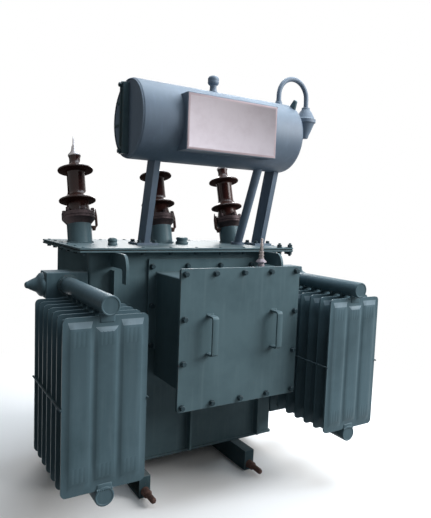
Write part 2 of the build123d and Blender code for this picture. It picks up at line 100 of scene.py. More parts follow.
# the colour sockets of a mix node, which share their names with its other sockets
COLOUR_A, COLOUR_B, COLOUR_OUT = 6, 7, 2


def enamel(name, body, light, deep, chips, dust, gloss, sheen=0.10):
    """Brushed-on enamel over primed steel: an even body colour with cloudy thick and thin patches,
    rain streaks, pale dust where it faces up, and chips down to pinkish primer and rust."""
    material, tree, shader, place = new_finish(name)
    clouds = add_node(tree, "ShaderNodeTexNoise",
                      values={"Scale": per_mm(140), "Detail": 4.0, "Roughness": 0.6}, links={"Vector": place})
    cloudy = add_node(tree, "ShaderNodeMix", {"data_type": "RGBA"},
                      {COLOUR_A: linear(deep), COLOUR_B: linear(body)})
    spread = add_node(tree, "ShaderNodeMapRange", values={"From Min": 0.32, "From Max": 0.56},
                      links={"Value": clouds.outputs["Fac"]})
    tree.links.new(spread.outputs["Result"], cloudy.inputs["Factor"])
    # rain streaks, about 18 mm wide and ten times as long
    stretch = add_node(tree, "ShaderNodeMapping", values={"Scale": (1.0, 1.0, 0.09)}, links={"Vector": place})
    streaks = add_node(tree, "ShaderNodeTexNoise",
                       values={"Scale": per_mm(18), "Detail": 3.0, "Roughness": 0.55},
                       links={"Vector": stretch.outputs["Vector"]})
    runs = add_node(tree, "ShaderNodeMapRange",
                    values={"From Min": 0.52, "From Max": 0.78, "To Max": 0.55},
                    links={"Value": streaks.outputs["Fac"]})
    streaked = add_node(tree, "ShaderNodeMix", {"data_type": "RGBA"}, {COLOUR_B: linear(light)},
                        {"Factor": runs.outputs["Result"], COLOUR_A: cloudy.outputs[COLOUR_OUT]})
    # dust on what faces up, in patches of about 60 mm
    surface = add_node(tree, "ShaderNodeNewGeometry")
    upward = add_node(tree, "ShaderNodeSeparateXYZ", links={"Vector": surface.outputs["Normal"]})
    patches = add_node(tree, "ShaderNodeTexNoise",
                       values={"Scale": per_mm(60), "Detail": 5.0, "Roughness": 0.65},
                       links={"Vector": place})
    settle = add_node(tree, "ShaderNodeMapRange", values={"From Min": 0.25, "From Max": 1.0, "To Max": dust},
                      links={"Value": upward.outputs["Z"]})
    dusted = add_node(tree, "ShaderNodeMath", {"operation": "MULTIPLY"},
                      links={0: settle.outputs["Result"], 1: patches.outputs["Fac"]})
    dusty = add_node(tree, "ShaderNodeMix", {"data_type": "RGBA"}, {COLOUR_B: linear("#a9adab")},
                     {"Factor": dusted.outputs["Value"], COLOUR_A: streaked.outputs[COLOUR_OUT]})
    # chips of about 9 mm, drawn a little larger than real ones so that they show
    flakes = add_node(tree, "ShaderNodeTexNoise",
                      values={"Scale": per_mm(9), "Detail": 6.0, "Roughness": 0.7}, links={"Vector": place})
    chipped = add_node(tree, "ShaderNodeMapRange",
                       values={"From Min": 0.70 - 0.28 * chips, "From Max": 0.76 - 0.26 * chips},
                       links={"Value": flakes.outputs["Fac"]})
    rusting = add_node(tree, "ShaderNodeMix", {"data_type": "RGBA"},
                       {COLOUR_A: linear("#7d7072"), COLOUR_B: linear("#553629")},
                       {"Factor": patches.outputs["Fac"]})
    painted = add_node(tree, "ShaderNodeMix", {"data_type": "RGBA"},
                       links={"Factor": chipped.outputs["Result"], COLOUR_A: dusty.outputs[COLOUR_OUT],
                              COLOUR_B: rusting.outputs[COLOUR_OUT]})
    tree.links.new(painted.outputs[COLOUR_OUT], shader.inputs["Base Color"])
    # gloss falls where dust or bare steel shows
    dull = add_node(tree, "ShaderNodeMath", {"operation": "MAXIMUM"},
                    links={0: chipped.outputs["Result"], 1: dusted.outputs["Value"]})
    rough = add_node(tree, "ShaderNodeMapRange", values={"To Min": gloss, "To Max": 0.82},
                     links={"Value": dull.outputs["Value"]})
    tree.links.new(rough.outputs["Result"], shader.inputs["Roughness"])
    # brush marks of about 5 mm, and the chips' low edges
    brushed = add_node(tree, "ShaderNodeTexNoise",
                       values={"Scale": per_mm(5), "Detail": 2.0},
                       links={"Vector": stretch.outputs["Vector"]})
    peel = add_node(tree, "ShaderNodeBump", values={"Strength": 0.10, "Distance": 0.6 * MM},
                    links={"Height": brushed.outputs["Fac"]})
    pits = add_node(tree, "ShaderNodeBump", {"invert": True}, {"Strength": 0.35, "Distance": 0.4 * MM},
                    {"Height": chipped.outputs["Result"], "Normal": peel.outputs["Normal"]})
    tree.links.new(pits.outputs["Normal"], shader.inputs["Normal"])
    shader.inputs["Specular IOR Level"].default_value = sheen
    return material


def glaze(name, body, deep, dust, gloss=0.22, sheen=0.24):
    """Fired glaze on porcelain: wet-looking and deep, darker where it ran thick, with grime on top."""
    material, tree, shader, place = new_finish(name)
    pools = add_node(tree, "ShaderNodeTexNoise",
                     values={"Scale": per_mm(35), "Detail": 4.0}, links={"Vector": place})
    glazed = add_node(tree, "ShaderNodeMix", {"data_type": "RGBA"},
                      {COLOUR_A: linear(deep), COLOUR_B: linear(body)}, {"Factor": pools.outputs["Fac"]})
    surface = add_node(tree, "ShaderNodeNewGeometry")
    upward = add_node(tree, "ShaderNodeSeparateXYZ", links={"Vector": surface.outputs["Normal"]})
    grit = add_node(tree, "ShaderNodeTexNoise",
                    values={"Scale": per_mm(12), "Detail": 6.0, "Roughness": 0.7}, links={"Vector": place})
    settle = add_node(tree, "ShaderNodeMapRange", values={"From Min": 0.3, "From Max": 1.0, "To Max": dust},
                      links={"Value": upward.outputs["Z"]})
    dusted = add_node(tree, "ShaderNodeMath", {"operation": "MULTIPLY"},
                      links={0: settle.outputs["Result"], 1: grit.outputs["Fac"]})
    grimy = add_node(tree, "ShaderNodeMix", {"data_type": "RGBA"}, {COLOUR_B: linear("#7f766f")},
                     {"Factor": dusted.outputs["Value"], COLOUR_A: glazed.outputs[COLOUR_OUT]})
    tree.links.new(grimy.outputs[COLOUR_OUT], shader.inputs["Base Color"])
    rough = add_node(tree, "ShaderNodeMapRange", values={"To Min": gloss, "To Max": 0.7},
                     links={"Value": dusted.outputs["Value"]})
    tree.links.new(rough.outputs["Result"], shader.inputs["Roughness"])
    waves = add_node(tree, "ShaderNodeBump", values={"Strength": 0.12, "Distance": 0.8 * MM},
                     links={"Height": pools.outputs["Fac"]})
    tree.links.new(waves.outputs["Normal"], shader.inputs["Normal"])
    shader.inputs["Specular IOR Level"].default_value = sheen
    return material


def dull_metal(name, bright, tarnish, spots, rough_low, rough_high):
    """Bare plated or cast metal gone dull: soft reflections, grey tarnish clouds and a few brown spots."""
    material, tree, shader, place = new_finish(name)
    clouds = add_node(tree, "ShaderNodeTexNoise",
                      values={"Scale": per_mm(14), "Detail": 5.0, "Roughness": 0.6}, links={"Vector": place})
    toned = add_node(tree, "ShaderNodeMix", {"data_type": "RGBA"},
                     {COLOUR_A: linear(tarnish), COLOUR_B: linear(bright)}, {"Factor": clouds.outputs["Fac"]})
    specks = add_node(tree, "ShaderNodeTexNoise",
                      values={"Scale": per_mm(6), "Detail": 5.0, "Roughness": 0.7}, links={"Vector": place})
    rusty = add_node(tree, "ShaderNodeMapRange", values={"From Min": 0.58, "From Max": 0.70, "To Max": spots},
                     links={"Value": specks.outputs["Fac"]})
    spotted = add_node(tree, "ShaderNodeMix", {"data_type": "RGBA"}, {COLOUR_B: linear("#5b3b2b")},
                       {"Factor": rusty.outputs["Result"], COLOUR_A: toned.outputs[COLOUR_OUT]})
    tree.links.new(spotted.outputs[COLOUR_OUT], shader.inputs["Base Color"])
    rough = add_node(tree, "ShaderNodeMapRange", values={"To Min": rough_high, "To Max": rough_low},
                     links={"Value": clouds.outputs["Fac"]})
    tree.links.new(rough.outputs["Result"], shader.inputs["Roughness"])
    worn = add_node(tree, "ShaderNodeMath", {"operation": "SUBTRACT"}, {0: 1.0}, {1: rusty.outputs["Result"]})
    tree.links.new(worn.outputs["Value"], shader.inputs["Metallic"])
    grain = add_node(tree, "ShaderNodeBump", values={"Strength": 0.2, "Distance": 0.4 * MM},
                     links={"Height": specks.outputs["Fac"]})
    tree.links.new(grain.outputs["Normal"], shader.inputs["Normal"])
    return material


def rust(name, dark, mid, pale):
    """Bare mild steel left outdoors: matt layered rust, dark scale with paler powdery patches, pitted."""
    material, tree, shader, place = new_finish(name)
    scale = add_node(tree, "ShaderNodeTexNoise",
                     values={"Scale": per_mm(16), "Detail": 6.0, "Roughness": 0.65}, links={"Vector": place})
    powder = add_node(tree, "ShaderNodeTexNoise",
                      values={"Scale": per_mm(5), "Detail": 5.0, "Roughness": 0.7}, links={"Vector": place})
    layered = add_node(tree, "ShaderNodeMix", {"data_type": "RGBA"},
                       {COLOUR_A: linear(dark), COLOUR_B: linear(mid)}, {"Factor": scale.outputs["Fac"]})
    dusting = add_node(tree, "ShaderNodeMapRange", values={"From Min": 0.5, "From Max": 0.72},
                       links={"Value": powder.outputs["Fac"]})
    powdered = add_node(tree, "ShaderNodeMix", {"data_type": "RGBA"}, {COLOUR_B: linear(pale)},
                        {"Factor": dusting.outputs["Result"], COLOUR_A: layered.outputs[COLOUR_OUT]})
    tree.links.new(powdered.outputs[COLOUR_OUT], shader.inputs["Base Color"])
    pits = add_node(tree, "ShaderNodeBump", values={"Strength": 0.6, "Distance": 0.8 * MM},
                    links={"Height": powder.outputs["Fac"]})
    tree.links.new(pits.outputs["Normal"], shader.inputs["Normal"])
    shader.inputs["Roughness"].default_value = 0.85
    return material


def matt_sheet(name, body, stain, stain_share, rough, grain_mm):
    """A plain matt or satin sheet with faint stains and a fine grain, such as cork or a painted plate."""
    material, tree, shader, place = new_finish(name)
    stains = add_node(tree, "ShaderNodeTexNoise",
                      values={"Scale": per_mm(70), "Detail": 6.0, "Roughness": 0.7}, links={"Vector": place})
    marked = add_node(tree, "ShaderNodeMapRange",
                      values={"From Min": 0.45, "From Max": 0.8, "To Max": stain_share},
                      links={"Value": stains.outputs["Fac"]})
    stained = add_node(tree, "ShaderNodeMix", {"data_type": "RGBA"},
                       {COLOUR_A: linear(body), COLOUR_B: linear(stain)},
                       {"Factor": marked.outputs["Result"]})
    tree.links.new(stained.outputs[COLOUR_OUT], shader.inputs["Base Color"])
    grain = add_node(tree, "ShaderNodeTexNoise",
                     values={"Scale": per_mm(grain_mm), "Detail": 3.0}, links={"Vector": place})
    tooth = add_node(tree, "ShaderNodeBump", values={"Strength": 0.15, "Distance": 0.4 * MM},
                     links={"Height": grain.outputs["Fac"]})
    tree.links.new(tooth.outputs["Normal"], shader.inputs["Normal"])
    shader.inputs["Roughness"].default_value = rough
    shader.inputs["Specular IOR Level"].default_value = 0.06
    return material


tank_paint = enamel("grey_green_gloss_enamel", "#566c73", "#61767d", "#4d6269", 0.06, 0.20, 0.34)
drum_paint = enamel("blue_grey_drum_enamel", "#596a7b", "#66778a", "#506072", 0.05, 0.30, 0.56, 0.5)
edge_paint = enamel("scuffed_enamel_edge", "#566a70", "#6c767b", "#4a5e65", 0.45, 0.20, 0.48)
fin_paint = enamel("grey_green_radiator_enamel", "#516770", "#5d727b", "#485d65", 0.05, 0.20, 0.34)
# a paler enamel that paints the highlight on the fins' sloping flute tops
fin_top_highlight_paint = enamel("fin_enamel_painted_highlight", "#7d919c", "#92a4ae", "#6d818b", 0.05, 0.30, 0.42, 0.20)
base_paint = enamel("dirty_skid_enamel", "#3d5259", "#52646a", "#33454b", 0.28, 0.55, 0.48)
bolt_paint = enamel("overpainted_bolt_enamel", "#34464d", "#4b5d64", "#2a3a40", 0.28, 0.22, 0.45)
brown_glaze = glaze("brown_glazed_porcelain", "#3d1f1b", "#27120f", 0.22)
# a dull glaze with almost no sheen for the undersides of the sheds, which paints shade under them
underside_shade_glaze = glaze("brown_glaze_painted_underside_shade", "#37211e", "#251513", 0.22, 0.75, 0.02)
pale_glaze = glaze("pale_glazed_porcelain", "#a89ea6", "#8a8088", 0.30)
zinc = dull_metal("dull_zinc_plate", "#a39c9b", "#6f6867", 0.55, 0.36, 0.58)
ring_metal = dull_metal("browned_clamp_iron", "#4a4143", "#252022", 0.4, 0.42, 0.62)
cast_alloy = dull_metal("cast_aluminium", "#a9a7a9", "#757274", 0.12, 0.30, 0.48)
rusty_steel = rust("rusted_mild_steel", "#33211d", "#4d342c", "#6c5048")
white_enamel = matt_sheet("white_sign_enamel", "#c2bac0", "#ab9fa5", 0.55, 0.9, 3)
sign_trim = matt_sheet("faded_sign_edging", "#b3a3a8", "#8f8187", 0.6, 0.45, 3)
cork = matt_sheet("rubberised_cork", "#23211f", "#3a3430", 0.8, 0.9, 1.5)

# sight glass: clear drawn glass, very smooth, with amber oil standing behind its lower part
OIL_LEVEL = 1272
sight_glass, tree, shader, place = new_finish("sight_glass_and_oil")
level = add_node(tree, "ShaderNodeSeparateXYZ", links={"Vector": place})
filled = add_node(tree, "ShaderNodeMath", {"operation": "LESS_THAN"}, {1: OIL_LEVEL * MM},
                  {0: level.outputs["Z"]})
oily = add_node(tree, "ShaderNodeMix", {"data_type": "RGBA"},
                {COLOUR_A: linear("#9fa6a4"), COLOUR_B: linear("#6a4a1c")},
                {"Factor": filled.outputs["Value"]})
tree.links.new(oily.outputs[COLOUR_OUT], shader.inputs["Base Color"])
shader.inputs["Roughness"].default_value = 0.06
shader.inputs["Coat Weight"].default_value = 1.0

# what the CAD nodes wear; the sign's tray, the legs and the oil pipe are painted with the drum
finish_of_slot = {
    "tank_enamel": tank_paint, "radiator_enamel": fin_paint, "base_enamel": base_paint, "cork_gasket": cork,
    "brown_porcelain": brown_glaze, "grey_porcelain": pale_glaze, "zinc_fittings": zinc,
    "terminal_alloy": cast_alloy, "rusty_steel": rusty_steel, "white_enamel": drum_paint,
    "gauge_plate": tank_paint,
}
painted_with_drum = ("conservator_leg_left", "conservator_leg_right", "oil_pipe")
for subpart in frame["record"]["subparts"]:
    cad_node = frame["nodes"][subpart["node"]]
    finish = finish_of_slot[subpart["material_slot"]]
    if subpart["node"] in painted_with_drum:
        finish = drum_paint
    cad_node.data.materials.clear()
    cad_node.data.materials.append(finish)


# Shop tools

def deselect():
    """Leave edit mode and drop every selection."""
    if bpy.context.mode != "OBJECT":
        bpy.ops.object.mode_set(mode="OBJECT")
    bpy.ops.object.select_all(action="DESELECT")


def only(*pieces):
    """Select these pieces alone, the first one active."""
    deselect()
    for piece in pieces:
        piece.select_set(True)
    bpy.context.view_layer.objects.active = pieces[0]


def start(name, finishes):
    """Take the primitive just added as the start of a piece, with its place in its mesh."""
    piece = bpy.context.object
    piece.name = name
    bpy.ops.object.transform_apply(location=True, rotation=True, scale=True)
    for material in finishes:
        piece.data.materials.append(material)
    return piece


def block(name, low, high, *finishes):
    """A block between two corners, as the start of a plate or bar."""
    deselect()
    low, high = Vector(low) * MM, Vector(high) * MM
    bpy.ops.mesh.primitive_cube_add(size=1, location=(low + high) / 2, scale=high - low)
    return start(name, finishes)


def rod(name, base, along, length, radius, sides, *finishes):
    """A straight rod from its base point along a direction, as the start of a pipe or stud."""
    deselect()
    along = Vector(along).normalized()
    bpy.ops.mesh.primitive_cylinder_add(
        vertices=sides, radius=radius * MM, depth=length * MM,
        location=(Vector(base) + along * length / 2) * MM, rotation=along.to_track_quat("Z", "Y").to_euler())
    return start(name, finishes)


def edit(piece):
    """Open one piece in edit mode."""
    only(piece)
    bpy.ops.object.mode_set(mode="EDIT")


def pick(piece, kind, test):
    """In edit mode, select the faces, edges or verts that pass a test."""
    bpy.ops.mesh.select_mode(type=kind)
    bpy.ops.mesh.select_all(action="DESELECT")
    mesh = bmesh.from_edit_mesh(piece.data)
    mesh.normal_update()
    items = {"VERT": mesh.verts, "EDGE": mesh.edges, "FACE": mesh.faces}[kind]
    for item in [item for item in items if test(item)]:
        item.select_set(True)
    bmesh.update_edit_mesh(piece.data)


def repaint(piece, slot, test):
    """In edit mode, give the faces that pass a test another of the piece's finishes."""
    pick(piece, "FACE", test)
    piece.active_material_index = slot
    bpy.ops.object.material_slot_assign()


def extrude(x, y, z):
    """In edit mode, draw the chosen faces out by a step."""
    bpy.ops.mesh.extrude_region_move(TRANSFORM_OT_translate={"value": (x * MM, y * MM, z * MM)})


def inset(width, depth=0):
    """In edit mode, inset the chosen faces as one."""
    bpy.ops.mesh.inset(thickness=width * MM, depth=depth * MM)


def bend(angle, axis, centre, steps):
    """In edit mode, sweep the chosen faces round a bend."""
    bpy.ops.mesh.spin(steps=steps, angle=angle, axis=axis, center=Vector(centre) * MM)


def close_up():
    """Merge doubled points, point every face outwards, and leave edit mode."""
    bpy.ops.mesh.select_all(action="SELECT")
    bpy.ops.mesh.remove_doubles(threshold=0.01 * MM)
    bpy.ops.mesh.normals_make_consistent(inside=False)
    deselect()


def middle(edge):
    """The middle of an edge, in millimetres."""
    return (edge.verts[0].co + edge.verts[1].co) / 2 / MM


def facing(axis, way):
    """A test for faces that look along the X, Y or Z axis, one way or the other."""
    return lambda face: face.normal[axis] * way > 0.9


def runs_along(axis):
    """A test for edges that run along the X, Y or Z axis."""
    return lambda edge: abs((edge.verts[1].co - edge.verts[0].co).normalized()[axis]) > 0.99


def sharper_than(degrees):
    """A test for edges whose faces meet at more than an angle."""
    return lambda edge: edge.calc_face_angle(0) > radians(degrees)


def soften(piece, width, segments=2, test=None, edge_slot=-1):
    """Round the chosen edges, or every sharp one, and give the new faces another finish if asked."""
    edit(piece)
    pick(piece, "EDGE", test or sharper_than(40))
    bpy.ops.mesh.bevel(offset=width * MM, segments=segments, affect="EDGES", material=edge_slot)
    deselect()


def plate(name, low, high, axis, corner, edge, segments=3):
    """A painted plate with its corners rounded along one axis and its edges eased and scuffed."""
    piece = block(name, low, high, tank_paint, edge_paint)
    soften(piece, corner, segments, runs_along(axis))
    soften(piece, edge, 2, edge_slot=1)
    return piece


def turned(name, profile, *finishes, steps=48):
    """Turn a chain of (radius, height) points about the upright axis at the origin."""
    deselect()
    bpy.ops.mesh.primitive_plane_add(size=MM)
    piece = start(name, finishes)
    edit(piece)
    bpy.ops.mesh.select_mode(type="VERT")
    bpy.ops.mesh.select_all(action="SELECT")
    bpy.ops.mesh.merge(type="CENTER")
    bpy.ops.transform.translate(value=(profile[0][0] * MM, 0, profile[0][1] * MM))
    for (r0, z0), (r1, z1) in zip(profile, profile[1:]):
        step = ((r1 - r0) * MM, 0, (z1 - z0) * MM)
        bpy.ops.mesh.extrude_vertices_move(TRANSFORM_OT_translate={"value": step})
    bpy.ops.mesh.select_all(action="SELECT")
    bpy.ops.mesh.spin(steps=steps, angle=2 * pi, center=(0, 0, 0), axis=(0, 0, 1))
    close_up()
    return piece


def upright_to(along):
    """The shortest turn that brings the upright to a direction."""
    return Vector((0, 0, 1)).rotation_difference(Vector(along)).to_matrix().to_4x4()


def stand(piece, spot, along=(0, 0, 1)):
    """Move a piece made at the origin to its spot, turned so that its upright runs along a direction."""
    piece.matrix_world = Matrix.Translation(Vector(spot) * MM) @ upright_to(along)
    only(piece)
    bpy.ops.object.transform_apply(location=True, rotation=True, scale=True)
    return piece


def twin(piece, spot=(0, 0, 0), along=(0, 0, 1), turn=0.0):
    """A copy with its own mesh, turned about its upright, stood along a direction and moved to a spot."""
    copied = piece.copy()
    copied.data = piece.data.copy()
    bpy.context.collection.objects.link(copied)
    stood = Matrix.Translation(Vector(spot) * MM) @ upright_to(along)
    copied.matrix_world = stood @ Matrix.Rotation(turn, 4, "Z")
    return copied


def weldment(name, pieces):
    """Join pieces to one, with its place in its mesh."""
    only(*pieces)
    bpy.ops.object.join()
    joined = bpy.context.object
    joined.name = name
    bpy.ops.object.transform_apply(location=True, rotation=True, scale=True)
    return joined


def scatter(source, name, spots):
    """Copy a small part to each (spot, direction, turn) and join the copies."""
    return weldment(name, [twin(source, *spot) for spot in spots])


def hand_in(piece, slot, *stands_for, smooth=38, plates=False):
    """Shade a finished piece, hide the nodes it stands for, and fix it to the body; its slot argument is not
    used.
    Plates keep their broad faces flat up to the rounded edges."""
    only(piece)
    bpy.ops.object.shade_smooth_by_angle(angle=radians(smooth))
    if plates:
        piece.modifiers.new("flat_faces", "WEIGHTED_NORMAL").keep_sharp = True
        bpy.ops.object.modifier_apply(modifier="flat_faces")
    if stands_for:
        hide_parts(*stands_for)
    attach(piece, "root")
    return piece


# Small parts that repeat

WASHER = 2.5


def hex_bolt(name, across, head, washer_radius, finish):
    """A hexagon head with a chamfered top on a plain washer, standing on the origin."""
    shank = rod(name, (0, 0, WASHER), (0, 0, 1), head, across / sqrt(3), 6, finish)
    edit(shank)
    pick(shank, "FACE", facing(Z, 1))
    inset(across * 0.08, head * 0.12)
    deselect()
    washer = rod(name + "_washer", (0, 0, 0), (0, 0, 1), WASHER, washer_radius, 14, finish)
    edit(washer)
    pick(washer, "FACE", facing(Z, 1))
    inset(1.0, 0.4)
    deselect()
    return weldment(name, [shank, washer])


plate_bolt = hex_bolt("plate_bolt", 15, 8.5, 10, bolt_paint)
small_bolt = hex_bolt("small_bolt", 13, 7, 9, bolt_paint)
clamp_nut = hex_bolt("clamp_nut", 12, 9, 7.6, ring_metal)
stem_nut = hex_bolt("stem_nut", 11, 6, 7, zinc)
corner_nut = hex_bolt("corner_nut", 16, 9, 10.5, bolt_paint)

# one ripple of a weld bead: a flattened dome with its hidden back cut off
deselect()
bpy.ops.mesh.primitive_uv_sphere_add(segments=8, ring_count=5, radius=4 * MM, scale=(0.9, 1.0, 0.75))
ripple = start("weld_ripple", [edge_paint])
edit(ripple)
bpy.ops.mesh.select_all(action="SELECT")
bpy.ops.mesh.bisect(plane_co=(0, 0, -1.2 * MM), plane_no=(0, 0, 1), clear_inner=True)
deselect()
RIPPLE_STEP = 5.0


def first_ripple(spot, along, side, out, finish):
    """The first ripple of a bead, turned to its run and moved to its spot."""
    line = twin(ripple)
    line.data.materials[0] = finish
    turned_to_run = Matrix((along, side, out)).transposed().to_4x4()
    line.matrix_world = Matrix.Translation(Vector(spot) * MM) @ turned_to_run
    only(line)
    bpy.ops.object.transform_apply(location=True, rotation=True, scale=True)
    return line


def bead(start_point, end_point, outward, finish=tank_paint):
    """A straight weld bead: ripples from one point to another, lying on a wall or in a corner."""
    run = Vector(end_point) - Vector(start_point)
    count = max(2, round(run.length / RIPPLE_STEP))
    along, out = run.normalized(), Vector(outward).normalized()
    line = first_ripple(start_point, along, out.cross(along), out, finish)
    array = line.modifiers.new("ripples", "ARRAY")
    array.use_relative_offset = False
    array.use_constant_offset = True
    array.constant_offset_displace = along * (run.length / count) * MM
    array.count = count + 1
    bpy.ops.object.modifier_apply(modifier="ripples")
    return line


def ring_bead(centre, axis, radius, finish=tank_paint):
    """A weld bead round a pipe or disc: ripples repeated about an axis."""
    axis = Vector(axis).normalized()
    out = axis.orthogonal().normalized()
    line = first_ripple(Vector(centre) + out * radius, axis.cross(out), -axis, out, finish)
    edit(line)
    bpy.ops.mesh.select_all(action="SELECT")
    count = round(2 * pi * radius / RIPPLE_STEP)
    bpy.ops.mesh.spin(steps=count - 1, dupli=True, angle=2 * pi * (count - 1) / count,
                      center=Vector(centre) * MM, axis=axis)
    deselect()
    return line


# Base, tank and cover

(_, TANK_FRONT, TANK_FOOT), (TANK_SIDE, TANK_BACK, _) = span("tank_body")
(_, COVER_FRONT, _), (COVER_SIDE, COVER_BACK, COVER_TOP) = span("top_cover")
RIM_LOW = span("tank_rim_flange")[0][Z]
SKID_X, SKID_FRONT = foot_of("base_skid_right")[X], span("base_skid_right")[0][Y]
SKID_WALL, SKID_HOLLOW = 6, 34
PIN_HEIGHT = 24
TANK_CORNER, FLOOR_EDGE, FLOOR_PLATE = 10, 5, 9

for side, node in ((-1, "base_skid_left"), (1, "base_skid_right")):
    skid = block(node + "_channel", *span(node), base_paint, edge_paint)
    edit(skid)
    pick(skid, "FACE", facing(X, side))
    inset(SKID_WALL)
    extrude(-side * SKID_HOLLOW, 0, 0)
    deselect()
    soften(skid, 1.6, 2, edge_slot=1)
    hand_in(skid, "base_enamel", node, plates=True)

pin_profile = [(0, 0), (15, 0), (15, 4), (14, 6), (14, 20), (14.8, 23), (13.5, 26), (10.4, 28), (10, 31),
               (10, 64), (9.4, 69), (7.4, 73), (4, 74.7), (0, 75)]
haul_pin = turned("haul_pin", pin_profile, rusty_steel, steps=24)
pins = scatter(haul_pin, "haulage_pins",
               [((side * SKID_X, SKID_FRONT, PIN_HEIGHT), (0, -1, 0)) for side in (-1, 1)])
hand_in(pins, "rusty_steel", "haul_pins")

shell = block("tank_shell", *span("tank_body"), tank_paint, edge_paint)
soften(shell, TANK_CORNER, 4, runs_along(Z))
floor_plate = plate("tank_floor_plate", (-TANK_SIDE - FLOOR_EDGE, TANK_FRONT - FLOOR_EDGE, TANK_FOOT),
                    (TANK_SIDE + FLOOR_EDGE, TANK_BACK + FLOOR_EDGE, TANK_FOOT + FLOOR_PLATE), Z, 8, 1.5)
hand_in(weldment("tank_shell", [shell, floor_plate]), "tank_enamel", "tank_body", plates=True)

for name, node in (("rim_flange_plate", "tank_rim_flange"), ("top_cover_plate", "top_cover")):
    hand_in(plate(name, *span(node), Z, 7, 1.2), "tank_enamel", node, plates=True)

# lifting hooks stand under the rim, and the screws keep clear of them
(_, HOOK_FRONT, FINGER_LOW), (hook_edge, HOOK_BACK, _) = span("lifting_hooks")
HOOK_HALF, ARM_LOW, FINGER = 5, 770, 32
HOOK_X = hook_edge - HOOK_HALF

# the cover is held by screws driven up from under the rim, whose ends stand just proud of it
SCREW_INSET, SCREW_PITCH = 21, 102
screw_x = [SCREW_PITCH * k for k in range(-4, 5)]
rim_spots = [(x, y) for y in (COVER_FRONT + SCREW_INSET, COVER_BACK - SCREW_INSET) for x in screw_x
             if abs(abs(x) - HOOK_X) > 20]
rim_spots += [(x, y) for x in (SCREW_INSET - COVER_SIDE, COVER_SIDE - SCREW_INSET)
              for y in (10, 97, 185, 272)]
screw_end = turned("screw_end", [(0, -1), (6, -1), (6, 1.6), (5, 2.6), (0, 2.6)], tank_paint, steps=16)
screw_ends = scatter(screw_end, "rim_screw_ends", [((x, y, COVER_TOP),) for x, y in rim_spots])
screw_heads = scatter(small_bolt, "rim_screw_heads",
                      [((x, y, RIM_LOW), (0, 0, -1), 0.5 * k) for k, (x, y) in enumerate(rim_spots)])
hand_in(weldment("rim_screws", [screw_ends, screw_heads]), "tank_enamel")

# two long bolts with nuts on both sides clamp the front right corner
CORNER_BOLT_X, CORNER_BOLT_Y, CORNER_BOLT_REACH = (366, 418), COVER_FRONT + 12, 18
corner_parts = []
for x in CORNER_BOLT_X:
    shank = rod("corner_shank", (x, CORNER_BOLT_Y, RIM_LOW - CORNER_BOLT_REACH), (0, 0, 1),
                COVER_TOP - RIM_LOW + 2 * CORNER_BOLT_REACH, 5, 16, bolt_paint)
    soften(shank, 1.5, 2, sharper_than(60))
    corner_parts += [shank, twin(corner_nut, (x, CORNER_BOLT_Y, COVER_TOP)),
                     twin(corner_nut, (x, CORNER_BOLT_Y, RIM_LOW), (0, 0, -1))]
hand_in(weldment("corner_bolts", corner_parts), "tank_enamel")


def lifting_hook(name, x, wall, outward, reach):
    """A flame-cut plate hook under the rim: an arm with its finger turned down and its corner rounded."""
    throat, tip = wall + outward * (reach - FINGER), wall + outward * reach
    hook = block(name, (x - HOOK_HALF, min(wall, throat), ARM_LOW),
                 (x + HOOK_HALF, max(wall, throat), RIM_LOW), tank_paint, edge_paint)
    edit(hook)
    pick(hook, "FACE", facing(Y, outward))
    extrude(0, tip - throat, 0)
    pick(hook, "FACE", lambda face: facing(Z, -1)(face)
         and (face.calc_center_median().y / MM - throat) * outward > 0)
    extrude(0, 0, FINGER_LOW - ARM_LOW)
    deselect()

    def corner(y, z):
        return lambda edge: runs_along(X)(edge) and (middle(edge) - Vector((x, y, z))).length < 1

    soften(hook, 52, 10, corner(tip, RIM_LOW))
    soften(hook, 12, 5, corner(throat, ARM_LOW))
    soften(hook, 1.0, 2, edge_slot=1)
    return hook


hooks = []
for x in (-HOOK_X, HOOK_X):
    hooks.append(lifting_hook("front_hook", x, TANK_FRONT, -1, TANK_FRONT - HOOK_FRONT))
    hooks.append(lifting_hook("rear_hook", x, TANK_BACK, 1, HOOK_BACK - TANK_BACK))
hand_in(weldment("lifting_hook_set", hooks), "tank_enamel", "lifting_hooks", plates=True)

# weld beads up the stiffeners and lifting hooks, and round the header boxes
STIFFENER_HALF, STIFFENER_LOW, STIFFENER_HIGH, UNDER_CABLE_BOX = 5, 90, 756, 371
(_, _, case_low), (CASE_END, CASE_BACK, case_high) = span("header_boxes_right")
CASE_HALF = 41.5
UPPER, LOWER = case_high - CASE_HALF, case_low + CASE_HALF
welds = []
for x in (-HOOK_X, 0, HOOK_X):
    top = UNDER_CABLE_BOX if x == 0 else STIFFENER_HIGH
    for way in (-1, 1):
        beside = x + way * STIFFENER_HALF
        welds.append(bead((beside, TANK_FRONT, STIFFENER_LOW), (beside, TANK_FRONT, top), (way, -1, 0)))
        welds.append(bead((beside, TANK_BACK, STIFFENER_LOW), (beside, TANK_BACK, STIFFENER_HIGH),
                          (way, 1, 0)))
for x in (-HOOK_X, HOOK_X):
    for way in (-1, 1):
        beside = x + way * (HOOK_HALF + 1)
        for wall, outward in ((TANK_FRONT, -1), (TANK_BACK, 1)):
            welds.append(bead((beside, wall, ARM_LOW + 3), (beside, wall, RIM_LOW - 3), (way, outward, 0)))
            welds.append(bead((beside, wall + outward * 4, RIM_LOW), (beside, wall + outward * 41, RIM_LOW),
                              (way, 0, -1)))
for side in (-1, 1):
    wall = side * TANK_SIDE
    for level in (UPPER, LOWER):
        for up in (-1, 1):
            z = level + up * CASE_HALF
            welds.append(bead((wall, TANK_FRONT + TANK_CORNER, z), (wall, CASE_BACK, z), (side, 0, up)))
        reach = CASE_HALF - 0.5
        welds.append(bead((wall, CASE_BACK, level - reach), (wall, CASE_BACK, level + reach), (side, 1, 0)))
hand_in(weldment("tank_weld_beads", welds), "tank_enamel")


# Radiators

